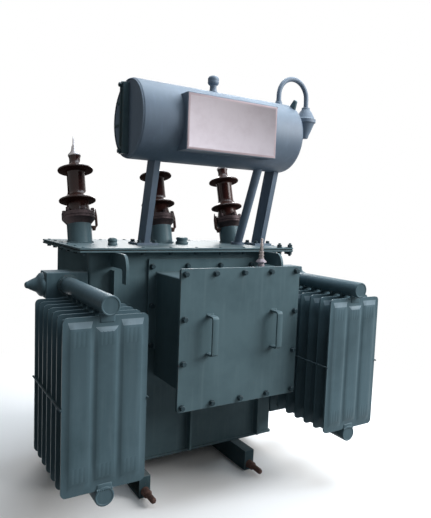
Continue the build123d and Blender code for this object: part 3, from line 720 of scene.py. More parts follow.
(pipe_left, PIPE_FRONT, _), (pipe_right, _, _) = span("header_pipes_right")
HEADER_X, PIPE_RADIUS = (pipe_left + pipe_right) / 2, (pipe_right - pipe_left) / 2
UPPER_PIPE, LOWER_PIPE = TANK_FRONT - PIPE_FRONT, 371
(fin_left, BANK_FRONT, _), (fin_right, BANK_BACK, _) = span("radiator_fins_right")
FIN_HALF, FIN_LOW, FIN_HIGH = (fin_right - fin_left) / 2, 216, 683
FIN_MID = (FIN_LOW + FIN_HIGH) / 2
FIN_DEPTH, FIN_PITCH, FIN_COUNT = 14, 50, 7
FIN_FRONT = BANK_FRONT + FIN_DEPTH / 2
SEAM, FLUTE_LOW, FLUTE_HIGH = 2.6, 228, 671
FLUTES = ((-102, -38), (-31, 31), (38, 102))
FLUTE_EDGE, FLUTE_SHOULDER, RIBS_PER_FLUTE = 8, 5, 4
CENTRE_FLUTE_DROP = 16
ZONE_LOW, ZONE_HIGH = 295, 604
CHAMFER = 12
NECK_HALF, NECK_DEPTH, NECK_LAP = 21, 5, 18
BAR_RADIUS = 2.8


def pressed_fin():
    """One fin: two pressed sheets seamed at the edge, three hollow flutes ribbed at their ends, and necks."""
    fin = block("pressed_fin", (-FIN_HALF, -SEAM, FIN_LOW), (FIN_HALF, SEAM, FIN_HIGH),
                fin_paint, fin_top_highlight_paint)
    soften(fin, 14, 4, runs_along(Y))
    edit(fin)
    for low, high in FLUTES:
        rib = (high - low - 2 * FLUTE_EDGE) / RIBS_PER_FLUTE
        for x in [low, high] + [low + FLUTE_EDGE + rib * k for k in range(1, RIBS_PER_FLUTE)]:
            bpy.ops.mesh.select_all(action="SELECT")
            bpy.ops.mesh.bisect(plane_co=(x * MM, 0, 0), plane_no=(1, 0, 0))
    for z in (FLUTE_LOW, ZONE_LOW, ZONE_HIGH, FLUTE_HIGH):
        bpy.ops.mesh.select_all(action="SELECT")
        bpy.ops.mesh.bisect(plane_co=(0, 0, z * MM), plane_no=(0, 0, 1))
    for z in (FLUTE_LOW + CENTRE_FLUTE_DROP, FLUTE_HIGH - CENTRE_FLUTE_DROP):
        pick(fin, "FACE", lambda face: abs(face.calc_center_median().x / MM) < FLUTES[1][1])
        bpy.ops.mesh.bisect(plane_co=(0, 0, z * MM), plane_no=(0, 0, 1))

    def on_flute(face):
        spot = face.calc_center_median() / MM
        if abs(face.normal.y) < 0.9:
            return False
        for low, high in FLUTES:
            if low < spot.x < high:
                drop = CENTRE_FLUTE_DROP if low < 0 < high else 0
                return FLUTE_LOW + drop < spot.z < FLUTE_HIGH - drop
        return False

    def on_end_zone(face):
        spot = face.calc_center_median() / MM
        raised = abs(spot.y) > SEAM + 2.9 and abs(face.normal.y) > 0.97
        return raised and not ZONE_LOW < spot.z < ZONE_HIGH

    def near_flute_end(vert):
        height = vert.co.z / MM
        reach = CENTRE_FLUTE_DROP + 1
        return abs(vert.co.y) / MM > SEAM + 1 and not FLUTE_LOW + reach <= height <= FLUTE_HIGH - reach

    pick(fin, "FACE", on_flute)
    inset(FLUTE_SHOULDER, 2.3)
    inset(FLUTE_EDGE - FLUTE_SHOULDER, 0.7)
    pick(fin, "FACE", on_end_zone)
    inset(3, 0.7)
    bpy.ops.mesh.inset(thickness=2 * MM, depth=0.5 * MM, use_individual=True)
    # long sloping ends where the outer flutes run out
    for above in (True, False):
        pick(fin, "VERT", lambda vert: near_flute_end(vert) and (vert.co.z / MM > FIN_MID) == above)
        bpy.ops.transform.translate(value=(0, 0, (-CHAMFER if above else CHAMFER) * MM))

    def on_sloping_top(face):
        spot = face.calc_center_median() / MM
        drop = CENTRE_FLUTE_DROP if abs(spot.x) < FLUTES[1][1] else 0
        sloping = face.normal.z > 0.12 and abs(face.normal.y) > 0.5
        return sloping and spot.z > FLUTE_HIGH - drop - CHAMFER - 6

    # the sloping tops get a paler enamel: a painted highlight of the sky glinting on them
    repaint(fin, 1, on_sloping_top)
    deselect()
    necks = []
    for low, high in ((FIN_HIGH - NECK_LAP, UPPER), (LOWER, FIN_LOW + NECK_LAP)):
        neck = block("fin_neck", (-NECK_HALF, -NECK_DEPTH, low), (NECK_HALF, NECK_DEPTH, high),
                     fin_paint, edge_paint)
        soften(neck, 4, 3)
        necks.append(neck)
    return weldment("pressed_fin", [fin] + necks)


def on_free_end(edge):
    """A test for the rim of a header pipe's free end."""
    return middle(edge).y < TANK_FRONT - 360 and sharper_than(60)(edge)


fin = pressed_fin()
bar_length = BANK_BACK - BANK_FRONT
bar_profile = [(0, 0), (2, 0), (BAR_RADIUS, 1), (BAR_RADIUS, bar_length - 1), (2, bar_length),
               (0, bar_length)]
tie_bar = turned("tie_bar", bar_profile, bolt_paint, steps=10)
cone_profile = [(0, 0), (38, 0), (38, 6), (36, 11), (29, 17), (24, 21), (21, 27), (15, 40), (12, 45),
                (11, 47.5), (10.5, 50), (8.5, 53.5), (5, 55.5), (0, 56)]
header_cone = turned("header_cone", cone_profile, fin_paint, steps=40)

bars, cones = [], []
for side, hand in ((-1, "left"), (1, "right")):
    header_x = side * HEADER_X
    bank = scatter(fin, f"pressed_fins_{hand}",
                   [((header_x, FIN_FRONT + FIN_PITCH * k, 0),) for k in range(FIN_COUNT)])
    hand_in(bank, "radiator_enamel", f"radiator_fins_{hand}", smooth=50)
    pipes, boxes = [], []
    for level, length, toward in ((UPPER, UPPER_PIPE, -1), (LOWER, LOWER_PIPE, 1)):
        pipe = rod("header_pipe", (header_x, TANK_FRONT, level), (0, -1, 0), length, PIPE_RADIUS, 40,
                   fin_paint, edge_paint)
        edit(pipe)
        pick(pipe, "FACE", facing(Y, -1))
        inset(4.5)
        inset(1.5, -1.2)
        deselect()
        soften(pipe, 2.2, 3, on_free_end)
        pipes.append(pipe)
        for rise, stand_off in ((1, 5), (4.5, 1.5)):
            pipes.append(ring_bead((header_x, TANK_FRONT - stand_off, level), (0, 1, 0),
                                   PIPE_RADIUS + rise, edge_paint))
        z = level + toward * 20
        for k in range(FIN_COUNT):
            for dy in (-5.5, 5.5):
                y = FIN_FRONT + FIN_PITCH * k + dy
                pipes.append(bead((header_x - 20, y, z), (header_x + 20, y, z), (0, dy, toward), fin_paint))
        near, far = sorted((side * TANK_SIDE, side * CASE_END))
        case = block("header_case", (near, TANK_FRONT, level - CASE_HALF),
                     (far, CASE_BACK, level + CASE_HALF), fin_paint, edge_paint)
        soften(case, 4, 3)
        boxes.append(case)
    hand_in(weldment(f"header_pipe_pair_{hand}", pipes), "radiator_enamel", f"header_pipes_{hand}")
    hand_in(weldment(f"header_case_pair_{hand}", boxes), "radiator_enamel", f"header_boxes_{hand}",
            plates=True)
    cones.append(((side * CASE_END, (TANK_FRONT + CASE_BACK) / 2, UPPER), (side, 0, 0)))
    for edge in (-1, 1):
        bars.append(((header_x + edge * (FIN_HALF + BAR_RADIUS), BANK_FRONT, FIN_MID), (0, 1, 0)))
hand_in(scatter(header_cone, "header_plugs", cones), "radiator_enamel", "header_cones")
hand_in(scatter(tie_bar, "fin_tie_bars", bars), "radiator_enamel", "radiator_tie_bars")


# Cable box

(lip_left, BOX_FRONT, LIP_LOW), (lip_right, FLANGE_FACE, LIP_HIGH) = span("cable_box_body")
FLANGE_LOW = span("cable_box_flange")[0][Z]
DOOR_FACE = span("cable_box_cover")[0][Y]
LIP, LIP_BACK = 41, BOX_FRONT + 6
BOX_X = (lip_left + lip_right) / 2
BOX_LEFT, BOX_RIGHT, BOX_LOW, BOX_HIGH = lip_left + LIP, lip_right - LIP, LIP_LOW + LIP, LIP_HIGH - LIP

flange = plate("cable_flange_plate", *span("cable_box_flange"), Y, 5, 1.3)
hand_in(flange, "tank_enamel", "cable_box_flange", plates=True)
flange_spots = [(x, z) for z in (492, 767) for x in (-206, -69, 69, 206)]
flange_spots += [(x, 630) for x in (-206, 206)]
flange_bolts = scatter(plate_bolt, "cable_flange_bolts", [
    ((BOX_X + x, FLANGE_FACE, z), (0, -1, 0), 0.4 * k) for k, (x, z) in enumerate(flange_spots)])
hand_in(flange_bolts, "tank_enamel")

trunk = block("cable_trunk", (BOX_LEFT, BOX_FRONT, BOX_LOW), (BOX_RIGHT, FLANGE_FACE, BOX_HIGH),
              tank_paint, edge_paint)
soften(trunk, 4, 3, runs_along(Y))
lip = plate("cable_lip", (lip_left, BOX_FRONT, LIP_LOW), (lip_right, LIP_BACK, LIP_HIGH), Y, 7, 1.2)
seams = []
for x, way in ((BOX_LEFT, -1), (BOX_RIGHT, 1)):
    seams.append(bead((x, FLANGE_FACE, FLANGE_LOW + 2), (x, FLANGE_FACE, BOX_HIGH), (way, -1, 0)))
    seams.append(bead((x, LIP_BACK, BOX_LOW), (x, LIP_BACK, BOX_HIGH), (way, 1, 0)))
for z, up in ((BOX_LOW, -1), (BOX_HIGH, 1)):
    seams.append(bead((BOX_LEFT, LIP_BACK, z), (BOX_RIGHT, LIP_BACK, z), (0, 1, up)))
seams.append(bead((BOX_LEFT, FLANGE_FACE, BOX_HIGH), (BOX_RIGHT, FLANGE_FACE, BOX_HIGH), (0, -1, 1)))
hand_in(weldment("cable_box_trunk", [trunk, lip] + seams), "tank_enamel", "cable_box_body", plates=True)

door = plate("cable_door", *span("cable_box_cover"), Y, 9, 1.4, segments=4)
hand_in(door, "tank_enamel", "cable_box_cover", plates=True)
DOOR_INSET = 16
door_x = [BOX_X + (lip_right - BOX_X - DOOR_INSET) * k / 2 for k in range(-2, 3)]
door_spots = [(x, z) for z in (LIP_LOW + DOOR_INSET, LIP_HIGH - DOOR_INSET) for x in door_x]
door_spots += [(x, z) for x in (door_x[0], door_x[4]) for z in (496, 633)]
door_bolts = scatter(plate_bolt, "cable_door_bolts", [
    ((x, DOOR_FACE, z), (0, -1, 0), 0.7 * k) for k, (x, z) in enumerate(door_spots)])
hand_in(door_bolts, "tank_enamel")

HANDLE_X, HANDLE_HALF, HANDLE_BAR = 124, 11, 3
HANDLE_MID, HANDLE_LEG, HANDLE_REACH, HANDLE_BEND = 578.5, 60, 38, 8
for way, hand in ((-1, "left"), (1, "right")):
    x = BOX_X + way * HANDLE_X
    top, foot = HANDLE_MID + HANDLE_LEG, HANDLE_MID - HANDLE_LEG
    grip = DOOR_FACE - HANDLE_REACH + HANDLE_BAR
    bar = block(f"bent_handle_{hand}", (x - HANDLE_HALF, grip + HANDLE_BEND, top - HANDLE_BAR),
                (x + HANDLE_HALF, DOOR_FACE, top + HANDLE_BAR), tank_paint, edge_paint)
    edit(bar)
    pick(bar, "FACE", facing(Y, -1))
    bend(-pi / 2, (1, 0, 0), (x, grip + HANDLE_BEND, top - HANDLE_BEND), 6)
    extrude(0, 0, -2 * (HANDLE_LEG - HANDLE_BEND))
    bend(-pi / 2, (1, 0, 0), (x, grip + HANDLE_BEND, foot + HANDLE_BEND), 6)
    extrude(0, DOOR_FACE - grip - HANDLE_BEND, 0)
    close_up()
    soften(bar, 1.0, 2, edge_slot=1)
    feet = []
    for up in (-1, 1):
        z = HANDLE_MID + up * (HANDLE_LEG + 4)
        feet.append(bead((x - 10, DOOR_FACE, z), (x + 10, DOOR_FACE, z), (0, -1, up)))
    hand_in(weldment(f"bent_handle_{hand}", [bar] + feet), "tank_enamel", f"cable_box_handle_{hand}")

NEUTRAL = Vector(foot_of("neutral_porcelain"))
neutral_profile = [
    (0, 0), (20, 0), (20, 6), (18, 9), (12, 11), (11, 16), (14, 19), (11.5, 22), (11, 28), (14, 31),
    (11.5, 34), (11, 39), (12.5, 41), (19, 42), (20, 44), (18.5, 47), (14, 51), (11, 54), (10, 56), (0, 56)]
neutral = stand(turned("neutral_insulator", neutral_profile, pale_glaze, steps=36), NEUTRAL)
hand_in(neutral, "grey_porcelain", "neutral_porcelain")
stem_profile = [
    (0, 56), (10, 56), (10, 60), (8, 61), (8, 65), (10, 66), (10, 70), (7.5, 71), (7.5, 76), (9, 77),
    (9, 82), (6, 84), (4, 85), (4, 126), (3.2, 128.5), (0, 129)]
stem = stand(turned("neutral_stem", stem_profile, zinc, steps=28), NEUTRAL)
stem_nuts = scatter(stem_nut, "neutral_nuts", [
    (NEUTRAL + Vector((0, 0, z)), (0, 0, 1), z) for z in (88, 101)])
hand_in(weldment("neutral_stem", [stem, stem_nuts]), "zinc_fittings", "neutral_terminal")


# High-voltage bushings

BUSHING_Y, LEAN = 193, radians(16)
BUSHING_AXIS = Vector((0, sin(LEAN), cos(LEAN)))
ACROSS = Vector((1, 0, 0))
NUT_CIRCLE, NUT_SEAT, NUTS = 53, 111, 6
HORN_FOOT, HORN_KNEE, HORN_HALF, HORN_LOW, HORN_HIGH = 41, 59, 7, 56, 62
HORN_BOLT, HORN_SHANK, HORN_POINT = 55, 34, 28
TURRET_R = 44

turret_profile = [(0, -40), (TURRET_R, -40), (TURRET_R, 65), (TURRET_R - 1, 66), (0, 66)]
ring_profile = [(0, 65.5), (43.6, 65.5), (44, 67), (58, 83.5), (60, 86), (60, 92.5), (58.6, 94), (60, 95.5),
                (60, 108), (57.5, 111), (54, 112), (46.6, 112), (46.6, 96), (0, 96)]
porcelain_profile = [
    (0, 94), (46, 94), (46, 113), (44.6, 118), (42, 126), (39.5, 138), (38.8, 147), (42, 151), (56, 152.4),
    (63, 153.2), (66.3, 155), (67, 158), (65.4, 161), (60, 163.6), (51, 167), (43, 172), (37.5, 178),
    (34.2, 185), (33, 194), (33, 230), (33, 259), (34, 265), (37, 268.4), (48, 269.4), (60, 270.2),
    (64.2, 272), (65, 275), (63.6, 278), (58, 280.6), (48, 284), (37, 288.6), (28, 294), (22.5, 300),
    (20.5, 307), (20, 316), (20.6, 323), (22, 328), (22, 330), (0, 330)]
terminal_profile = [
    (0, 330), (23.5, 330), (24, 332.5), (23.4, 336), (20, 340), (15.5, 345), (12, 351), (10, 358), (8.8, 366),
    (8, 371), (5.4, 372.5), (5.2, 377), (4, 379), (3.6, 388), (2.6, 400), (1.2, 408.5), (0, 410)]
turret_source = turned("turret", turret_profile, tank_paint)
ring_source = turned("clamp_ring", ring_profile, ring_metal)
porcelain_source = turned("porcelain", porcelain_profile, brown_glaze, underside_shade_glaze, steps=64)
terminal_source = turned("terminal", terminal_profile, cast_alloy, steps=32)

# the faces under the sheds take a dull glaze with almost no sheen: painted shade that keeps them dark where
# the shade falls
edit(porcelain_source)
repaint(porcelain_source, 1, lambda face: face.normal.z < -0.4)
deselect()

turrets, rings, terminals, horns = [], [], [], []
for hand, side in (("left", 1), ("middle", 1), ("right", -1)):
    foot = Vector((foot_of("bushing_porcelain_" + hand)[X], BUSHING_Y, COVER_TOP))
    turret = weldment("turret_" + hand, [twin(turret_source, foot, BUSHING_AXIS)])
    edit(turret)
    bpy.ops.mesh.select_all(action="SELECT")
    bpy.ops.mesh.bisect(plane_co=(0, 0, COVER_TOP * MM), plane_no=(0, 0, 1), clear_inner=True, use_fill=True)
    deselect()
    turrets += [turret, ring_bead(foot + Vector((0, 0, 1)), (0, 0, 1), TURRET_R + 2)]
    rings.append(twin(ring_source, foot, BUSHING_AXIS))
    back = BUSHING_AXIS.cross(ACROSS)
    for k in range(NUTS):
        turn = pi / NUTS + k * 2 * pi / NUTS
        spot = foot + (ACROSS * cos(turn) + back * sin(turn)) * NUT_CIRCLE + BUSHING_AXIS * NUT_SEAT
        rings.append(twin(clamp_nut, spot, BUSHING_AXIS, 0.5 * k))
    insulator = weldment("insulator_" + hand, [twin(porcelain_source, foot, BUSHING_AXIS)])
    hand_in(insulator, "brown_porcelain", "bushing_porcelain_" + hand)
    terminals.append(twin(terminal_source, foot, BUSHING_AXIS))
    # arcing horn: a bent strip with a filed point, made upright and then leaned with its bushing
    near, far = sorted((side * HORN_FOOT, side * HORN_KNEE))
    strip = block("arcing_horn_" + hand, (near, -HORN_HALF, HORN_LOW), (far, HORN_HALF, HORN_HIGH),
                  rusty_steel)
    edit(strip)
    pick(strip, "FACE", facing(X, side))
    bend(side * pi / 2, (0, 1, 0), (side * HORN_KNEE, 0, HORN_HIGH + 4), 4)
    extrude(0, 0, HORN_SHANK)
    extrude(0, 0, HORN_POINT)
    bpy.ops.transform.resize(value=(0.35, 0.2, 1.0))
    close_up()
    soften(strip, 0.8, 2)
    stand(strip, foot, BUSHING_AXIS)
    bolt_spot = foot + ACROSS * side * HORN_BOLT + BUSHING_AXIS * HORN_LOW
    horn_bolt = twin(small_bolt, bolt_spot, -BUSHING_AXIS, 0.3)
    horn_bolt.data.materials[0] = rusty_steel
    horns += [strip, horn_bolt]
hand_in(weldment("turret_set", turrets), "tank_enamel", "bushing_turrets")
hand_in(weldment("clamp_ring_set", rings), "zinc_fittings", "bushing_clamp_rings")
hand_in(weldment("terminal_set", terminals), "terminal_alloy", "bushing_terminals")
hand_in(weldment("arcing_horn_set", horns), "rusty_steel", "arcing_horns")


# Cover fittings

pocket_profile = [(0, 0), (17, 0), (17, 4), (15.4, 6), (14.6, 11), (16, 13), (16.6, 17), (15.4, 21),
                  (11.5, 24.6), (6, 26), (0, 26)]
pocket = turned("thermometer_plug", pocket_profile, tank_paint, steps=24)
hand_in(stand(pocket, foot_of("thermometer_pocket")), "tank_enamel", "thermometer_pocket")
cap_profile = [(0, 0), (25, 0), (25, 7), (23, 9), (20.5, 10), (20.5, 16), (23, 17.5), (23, 23), (20, 26),
               (0, 26)]
cap = turned("inspection_plug", cap_profile, tank_paint, steps=32)
hand_in(stand(cap, foot_of("inspection_cap")), "tank_enamel", "inspection_cap")

LEG_Y, LEG_FOOT_TOP = 79, COVER_TOP + 8
leg_x = [foot_of("conservator_leg_" + hand)[X] for hand in ("left", "right")]
foot_spots = [((x + dx, LEG_Y + dy, LEG_FOOT_TOP), (0, 0, 1), dx + dy)
              for x in leg_x for dx in (-30, 30) for dy in (-31, 31)]
hand_in(scatter(small_bolt, "leg_foot_bolts", foot_spots), "tank_enamel")


# Conservator

(DRUM_LEFT, drum_front, drum_low), (_, drum_back, drum_high) = span("conservator_end_left")
DRUM_RIGHT = span("conservator_end_right")[1][X]
DRUM_LENGTH, DRUM_X = DRUM_RIGHT - DRUM_LEFT, (DRUM_LEFT + DRUM_RIGHT) / 2
DRUM_Y, DRUM_Z = (drum_front + drum_back) / 2, (drum_low + drum_high) / 2
DRUM_R = (drum_back - drum_front) / 2
CROWN = DRUM_Z + DRUM_R
END_WELD_R, SEAM_TURN = 128, radians(35)

drum_profile = [(0, 0), (120, 0), (126, 0), (130, 0.8), (132.2, 2.8), (DRUM_R, 6), (DRUM_R, DRUM_LENGTH - 6),
                (132.2, DRUM_LENGTH - 2.8), (130, DRUM_LENGTH - 0.8), (126, DRUM_LENGTH),
                (120, DRUM_LENGTH), (0, DRUM_LENGTH)]
drum = turned("drum_shell", drum_profile, drum_paint, steps=96)
drum_parts = [stand(drum, (DRUM_LEFT, DRUM_Y, DRUM_Z), (1, 0, 0))]
for x in (DRUM_LEFT, DRUM_RIGHT):
    drum_parts.append(ring_bead((x, DRUM_Y, DRUM_Z), (1, 0, 0), END_WELD_R, drum_paint))
seam_y, seam_z = DRUM_Y + DRUM_R * cos(SEAM_TURN), DRUM_Z - DRUM_R * sin(SEAM_TURN)
drum_parts.append(bead((DRUM_LEFT + 8, seam_y, seam_z), (DRUM_RIGHT - 8, seam_y, seam_z),
                       (0, cos(SEAM_TURN), -sin(SEAM_TURN)), drum_paint))
hand_in(weldment("drum_shell", drum_parts), "tank_enamel",
        "conservator_drum", "conservator_end_left", "conservator_end_right")

# level gauge: a deep channel with a recessed glass, and two stays across the drum end
(GAUGE_FACE, gauge_front, _), (_, gauge_back, _) = span("oil_level_gauge")
GAUGE_Y = (gauge_front + gauge_back) / 2
channel = block("gauge_channel", *span("oil_level_gauge"), tank_paint, edge_paint)
edit(channel)
pick(channel, "FACE", facing(X, -1))
inset(9)
bpy.ops.transform.resize(value=(1, 1, 0.86))
extrude(13, 0, 0)
deselect()
soften(channel, 1.5, 2, edge_slot=1)
stays = []
for z in (1326, 1251):
    reach = sqrt(DRUM_R ** 2 - (z - DRUM_Z) ** 2) - 8
    stay = block("gauge_stay", (DRUM_LEFT - 5, gauge_back - 1, z - 4), (DRUM_LEFT, DRUM_Y + reach, z + 4),
                 tank_paint, edge_paint)
    soften(stay, 1.5, 2, edge_slot=1)
    stays.append(stay)
gauge_bolts = scatter(small_bolt, "gauge_bolts", [
    ((GAUGE_FACE, GAUGE_Y, DRUM_Z + dz), (-1, 0, 0), 0.2) for dz in (-109, 109)])
hand_in(weldment("gauge_channel", [channel, gauge_bolts] + stays), "gauge_plate", "oil_level_gauge",
        plates=True)
glass_profile = [(0, 0), (5, 0), (6.5, 1.5), (6.5, 186.5), (5, 188), (0, 188)]
glass = turned("gauge_glass", glass_profile, sight_glass, steps=16)
hand_in(stand(glass, (DRUM_LEFT - 12, GAUGE_Y, DRUM_Z - 94)), "gauge_plate")

# lugs: small gusset plates with rounded tops
LUG_HALF, LUG_DEPTH, LUG_TOP = 4, 17, DRUM_R + 30
lugs = []
for x, turn in ((DRUM_LEFT + 8, radians(-33)), (DRUM_RIGHT - 8, radians(33))):
    lug = block("drum_lug", (-LUG_HALF, -LUG_DEPTH, DRUM_R - 3), (LUG_HALF, LUG_DEPTH, LUG_TOP),
                tank_paint, edge_paint)
    edit(lug)
    pick(lug, "FACE", facing(Z, 1))
    bpy.ops.transform.resize(value=(1, 0.45, 1))
    deselect()
    soften(lug, 4, 3, lambda edge: middle(edge).z > LUG_TOP - 1 and runs_along(X)(edge))
    soften(lug, 0.9, 2, edge_slot=1)
    lug.rotation_euler = (turn, 0, 0)
    lug.location = Vector((x, DRUM_Y, DRUM_Z)) * MM
    lugs.append(lug)
hand_in(weldment("drum_slinging_lugs", lugs), "tank_enamel", "drum_lugs", plates=True)

filler_profile = [
    (0, -10), (17, -10), (17, 3), (14, 6), (12.6, 12), (12, 22), (13, 26), (17.5, 28.5), (20, 33), (20.6, 38),
    (19.6, 41), (20.6, 45), (20, 51), (17, 56), (11, 59.4), (5, 60), (0, 60)]
filler = turned("filler_and_knob", filler_profile, drum_paint, steps=32)
hand_in(stand(filler, (DRUM_X, DRUM_Y, CROWN)), "tank_enamel", "oil_filler")

# sign board: the tray is painted like the drum, its face is a bare white plate with a faded edging
(FACE_LEFT, FACE_Y, FACE_LOW), (FACE_RIGHT, _, FACE_HIGH) = span("sign_board")
FACE_X, FACE_Z = (FACE_LEFT + FACE_RIGHT) / 2, (FACE_LOW + FACE_HIGH) / 2
FACE_HALF = (FACE_RIGHT - FACE_LEFT) / 2


def on_edging(face):
    """A test for the front faces outside the sign's sunk middle."""
    spot = face.calc_center_median() / MM
    outside = abs(spot.x - FACE_X) > FACE_HALF - 9 or abs(spot.z - FACE_Z) > 82
    return facing(Y, -1)(face) and outside


sign_face = block("sign_face", (FACE_LEFT + 2, FACE_Y - 1.5, FACE_LOW + 2),
                  (FACE_RIGHT - 2, FACE_Y, FACE_HIGH - 2), white_enamel, sign_trim)
edit(sign_face)
pick(sign_face, "FACE", facing(Y, -1))
inset(7)
inset(0.8, -0.6)
repaint(sign_face, 1, on_edging)
deselect()
soften(sign_face, 0.6, 2, sharper_than(70))
hand_in(sign_face, "white_enamel")

# breather: an arched pipe on a socket, with a drying pot at its lower end
ROOT_X, ARCH, PIPE_END = 388, 1434.5, 1400
POT = foot_of("breather_pot")
arch = rod("breather_arch", (ROOT_X, DRUM_Y, CROWN - 12), (0, 0, 1), ARCH - CROWN + 12, 9.5, 20, drum_paint)
edit(arch)
pick(arch, "FACE", facing(Z, 1))
bend(-pi, (0, 1, 0), ((ROOT_X + POT[X]) / 2, DRUM_Y, ARCH), 28)
extrude(0, 0, PIPE_END - ARCH)
close_up()
socket_profile = [(9, -8), (14.5, -8), (14.5, 8), (13, 10), (12, 11), (12, 15), (9, 16), (9, -8)]
root_socket = turned("breather_socket", socket_profile, drum_paint, steps=24)
stand(root_socket, (ROOT_X, DRUM_Y, CROWN))
hand_in(weldment("breather_arch", [arch, root_socket]), "tank_enamel", "breather_pipe")
pot_profile = [
    (0, 0), (11, 0), (14.5, 1.5), (16, 5), (17.5, 12), (24, 26), (36, 56), (39, 62), (43, 64), (43, 77),
    (39, 79), (36, 85), (25, 106), (18, 115), (16.5, 119), (16.5, 123.5), (14, 125), (0, 125)]
pot = turned("breather_pot", pot_profile, drum_paint, steps=40)
hand_in(stand(pot, POT), "tank_enamel", "breather_pot")

for spare in (haul_pin, fin, tie_bar, header_cone, plate_bolt, small_bolt, clamp_nut, stem_nut, corner_nut,
              screw_end, ripple, turret_source, ring_source, porcelain_source, terminal_source):
    bpy.data.objects.remove(spare)


# Studio

deselect()
bpy.ops.mesh.primitive_plane_add(size=40, location=(0, 0, -0.0005))
studio_floor = bpy.context.object
studio_floor.name = "studio_floor"
floor_finish, tree, shader, place = new_finish("pale_studio_floor")
mottle = add_node(tree, "ShaderNodeTexNoise",
                  values={"Scale": per_mm(900), "Detail": 2.0}, links={"Vector": place})
paper = add_node(tree, "ShaderNodeMix", {"data_type": "RGBA"},
                 {COLOUR_A: linear("#f6f6f5"), COLOUR_B: linear("#fafafa")},
                 {"Factor": mottle.outputs["Fac"]})
shader.inputs["Roughness"].default_value = 0.9
shader.inputs["Specular IOR Level"].default_value = 0.1
# away from the object the floor shows as plain white, as the backdrop does
reach = add_node(tree, "ShaderNodeVectorMath", {"operation": "LENGTH"}, links={0: place})
far = add_node(tree, "ShaderNodeMapRange", {"interpolation_type": "SMOOTHSTEP"},
               {"From Min": 0.9, "From Max": 1.9}, {"Value": reach.outputs["Value"]})
rays = add_node(tree, "ShaderNodeLightPath")
seen = add_node(tree, "ShaderNodeMath", {"operation": "MAXIMUM"},
                links={0: rays.outputs["Is Camera Ray"], 1: rays.outputs["Is Glossy Ray"]})
shown = add_node(tree, "ShaderNodeMath", {"operation": "MAXIMUM"},
                 links={0: seen.outputs["Value"], 1: rays.outputs["Is Transmission Ray"]})
# light that it throws back on the object is that of a grey floor
seen_paper = add_node(tree, "ShaderNodeMix", {"data_type": "RGBA"}, {COLOUR_A: linear("#6f6f6e")},
                      {"Factor": shown.outputs["Value"], COLOUR_B: paper.outputs[COLOUR_OUT]})
tree.links.new(seen_paper.outputs[COLOUR_OUT], shader.inputs["Base Color"])
whitened = add_node(tree, "ShaderNodeMath", {"operation": "MULTIPLY"},
                    links={0: far.outputs["Result"], 1: shown.outputs["Value"]})
white = add_node(tree, "ShaderNodeEmission", values={"Color": (1, 1, 1, 1), "Strength": 1.0})
blended = add_node(tree, "ShaderNodeMixShader",
                   links={0: whitened.outputs["Value"], 1: shader.outputs["BSDF"],
                          2: white.outputs["Emission"]})
tree.links.new(blended.outputs["Shader"], tree.nodes["Material Output"].inputs["Surface"])
studio_floor.data.materials.append(floor_finish)

world = bpy.data.worlds.new("studio")
bpy.context.scene.world = world
world.use_nodes = True
tree = world.node_tree
rays = add_node(tree, "ShaderNodeLightPath")
seen = add_node(tree, "ShaderNodeMath", {"operation": "MAXIMUM"},
                links={0: rays.outputs["Is Camera Ray"], 1: rays.outputs["Is Glossy Ray"]})
shown = add_node(tree, "ShaderNodeMath", {"operation": "MAXIMUM"},
                 links={0: seen.outputs["Value"], 1: rays.outputs["Is Transmission Ray"]})
strength = add_node(tree, "ShaderNodeMapRange", values={"To Min": 0.12, "To Max": 1.0},
                    links={"Value": shown.outputs["Value"]})
sky = tree.nodes["Background"]
sky.inputs["Color"].default_value = (1, 1, 1, 1)
tree.links.new(strength.outputs["Result"], sky.inputs["Strength"])
# rays from the surfaces find the sky by themselves, so that glossy ones see it at its full strength
world.cycles.sampling_method = "NONE"

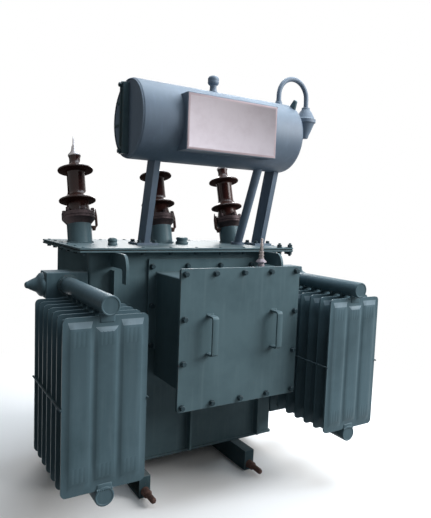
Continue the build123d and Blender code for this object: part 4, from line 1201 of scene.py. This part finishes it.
# a black flag behind the left end, unseen by the camera, keeps white out of the gloss on that side
deselect()
bpy.ops.mesh.primitive_plane_add(size=1, location=(-1.5, 2.3, 1.25), rotation=(pi / 2, 0, radians(-12)))
flag = bpy.context.object
flag.name = "black_flag"
flag.scale = (2.4, 2.7, 1.0)
flag_finish, flag_tree, shader, place = new_finish("black_flag_cloth")
nap = add_node(flag_tree, "ShaderNodeTexNoise",
               values={"Scale": per_mm(40)}, links={"Vector": place})
cloth = add_node(flag_tree, "ShaderNodeMix", {"data_type": "RGBA"},
                 {COLOUR_A: linear("#0c0d0e"), COLOUR_B: linear("#131415")},
                 {"Factor": nap.outputs["Fac"]})
flag_tree.links.new(cloth.outputs[COLOUR_OUT], shader.inputs["Base Color"])
shader.inputs["Roughness"].default_value = 1.0
shader.inputs["Specular IOR Level"].default_value = 0.0
flag.data.materials.append(flag_finish)
flag.visible_camera = False
flag.visible_shadow = False


def softbox(name, spot, target, size, watts, tint):
    """A square studio lamp at a spot, aimed at a target, in metres."""
    lamp = bpy.data.lights.new(name, "AREA")
    lamp.size, lamp.energy, lamp.color = size, watts, tint
    holder = bpy.data.objects.new(name, lamp)
    holder.location = spot
    holder.rotation_euler = (Vector(target) - Vector(spot)).to_track_quat("-Z", "Y").to_euler()
    bpy.context.collection.objects.link(holder)


DAYLIGHT, SKYLIGHT = (1.0, 1.0, 1.0), (0.80, 0.90, 1.0)
softbox("key_softbox", (3.6, -2.6, 2.8), (0.0, -0.1, 0.7), 2.6, 265, DAYLIGHT)
softbox("front_softbox", (1.2, -3.4, 2.4), (0.0, 0.0, 0.8), 1.8, 14, DAYLIGHT)
softbox("overhead_softbox", (0.8, -0.1, 3.3), (0.0, 0.0, 0.8), 2.4, 105, SKYLIGHT)
softbox("back_softbox", (1.6, 3.2, 2.6), (0.0, 0.0, 0.8), 1.8, 80, DAYLIGHT)

# camera at the photograph's place: about 1.9 m off to the front left, at the height of the cover
camera = bpy.data.cameras.new("camera")
camera.lens, camera.sensor_width = 35.97, 36.0
view = bpy.data.objects.new("camera", camera)
VIEWPOINT = (-0.9008, -1.6818, 0.9521)
yaw, pitch, roll = radians(31.46), radians(4.89), radians(2.19)
ahead = Vector((sin(yaw) * cos(pitch), cos(yaw) * cos(pitch), -sin(pitch)))
right = Vector((cos(yaw), -sin(yaw), 0))
up = right.cross(ahead)
rolled_right = right * cos(roll) + up * sin(roll)
rolled_up = up * cos(roll) - right * sin(roll)
aim = Matrix((rolled_right, rolled_up, -ahead)).transposed().to_4x4()
view.matrix_world = Matrix.Translation(VIEWPOINT) @ aim
bpy.context.collection.objects.link(view)
bpy.context.scene.camera = view
bpy.context.scene.view_settings.view_transform = "Standard"
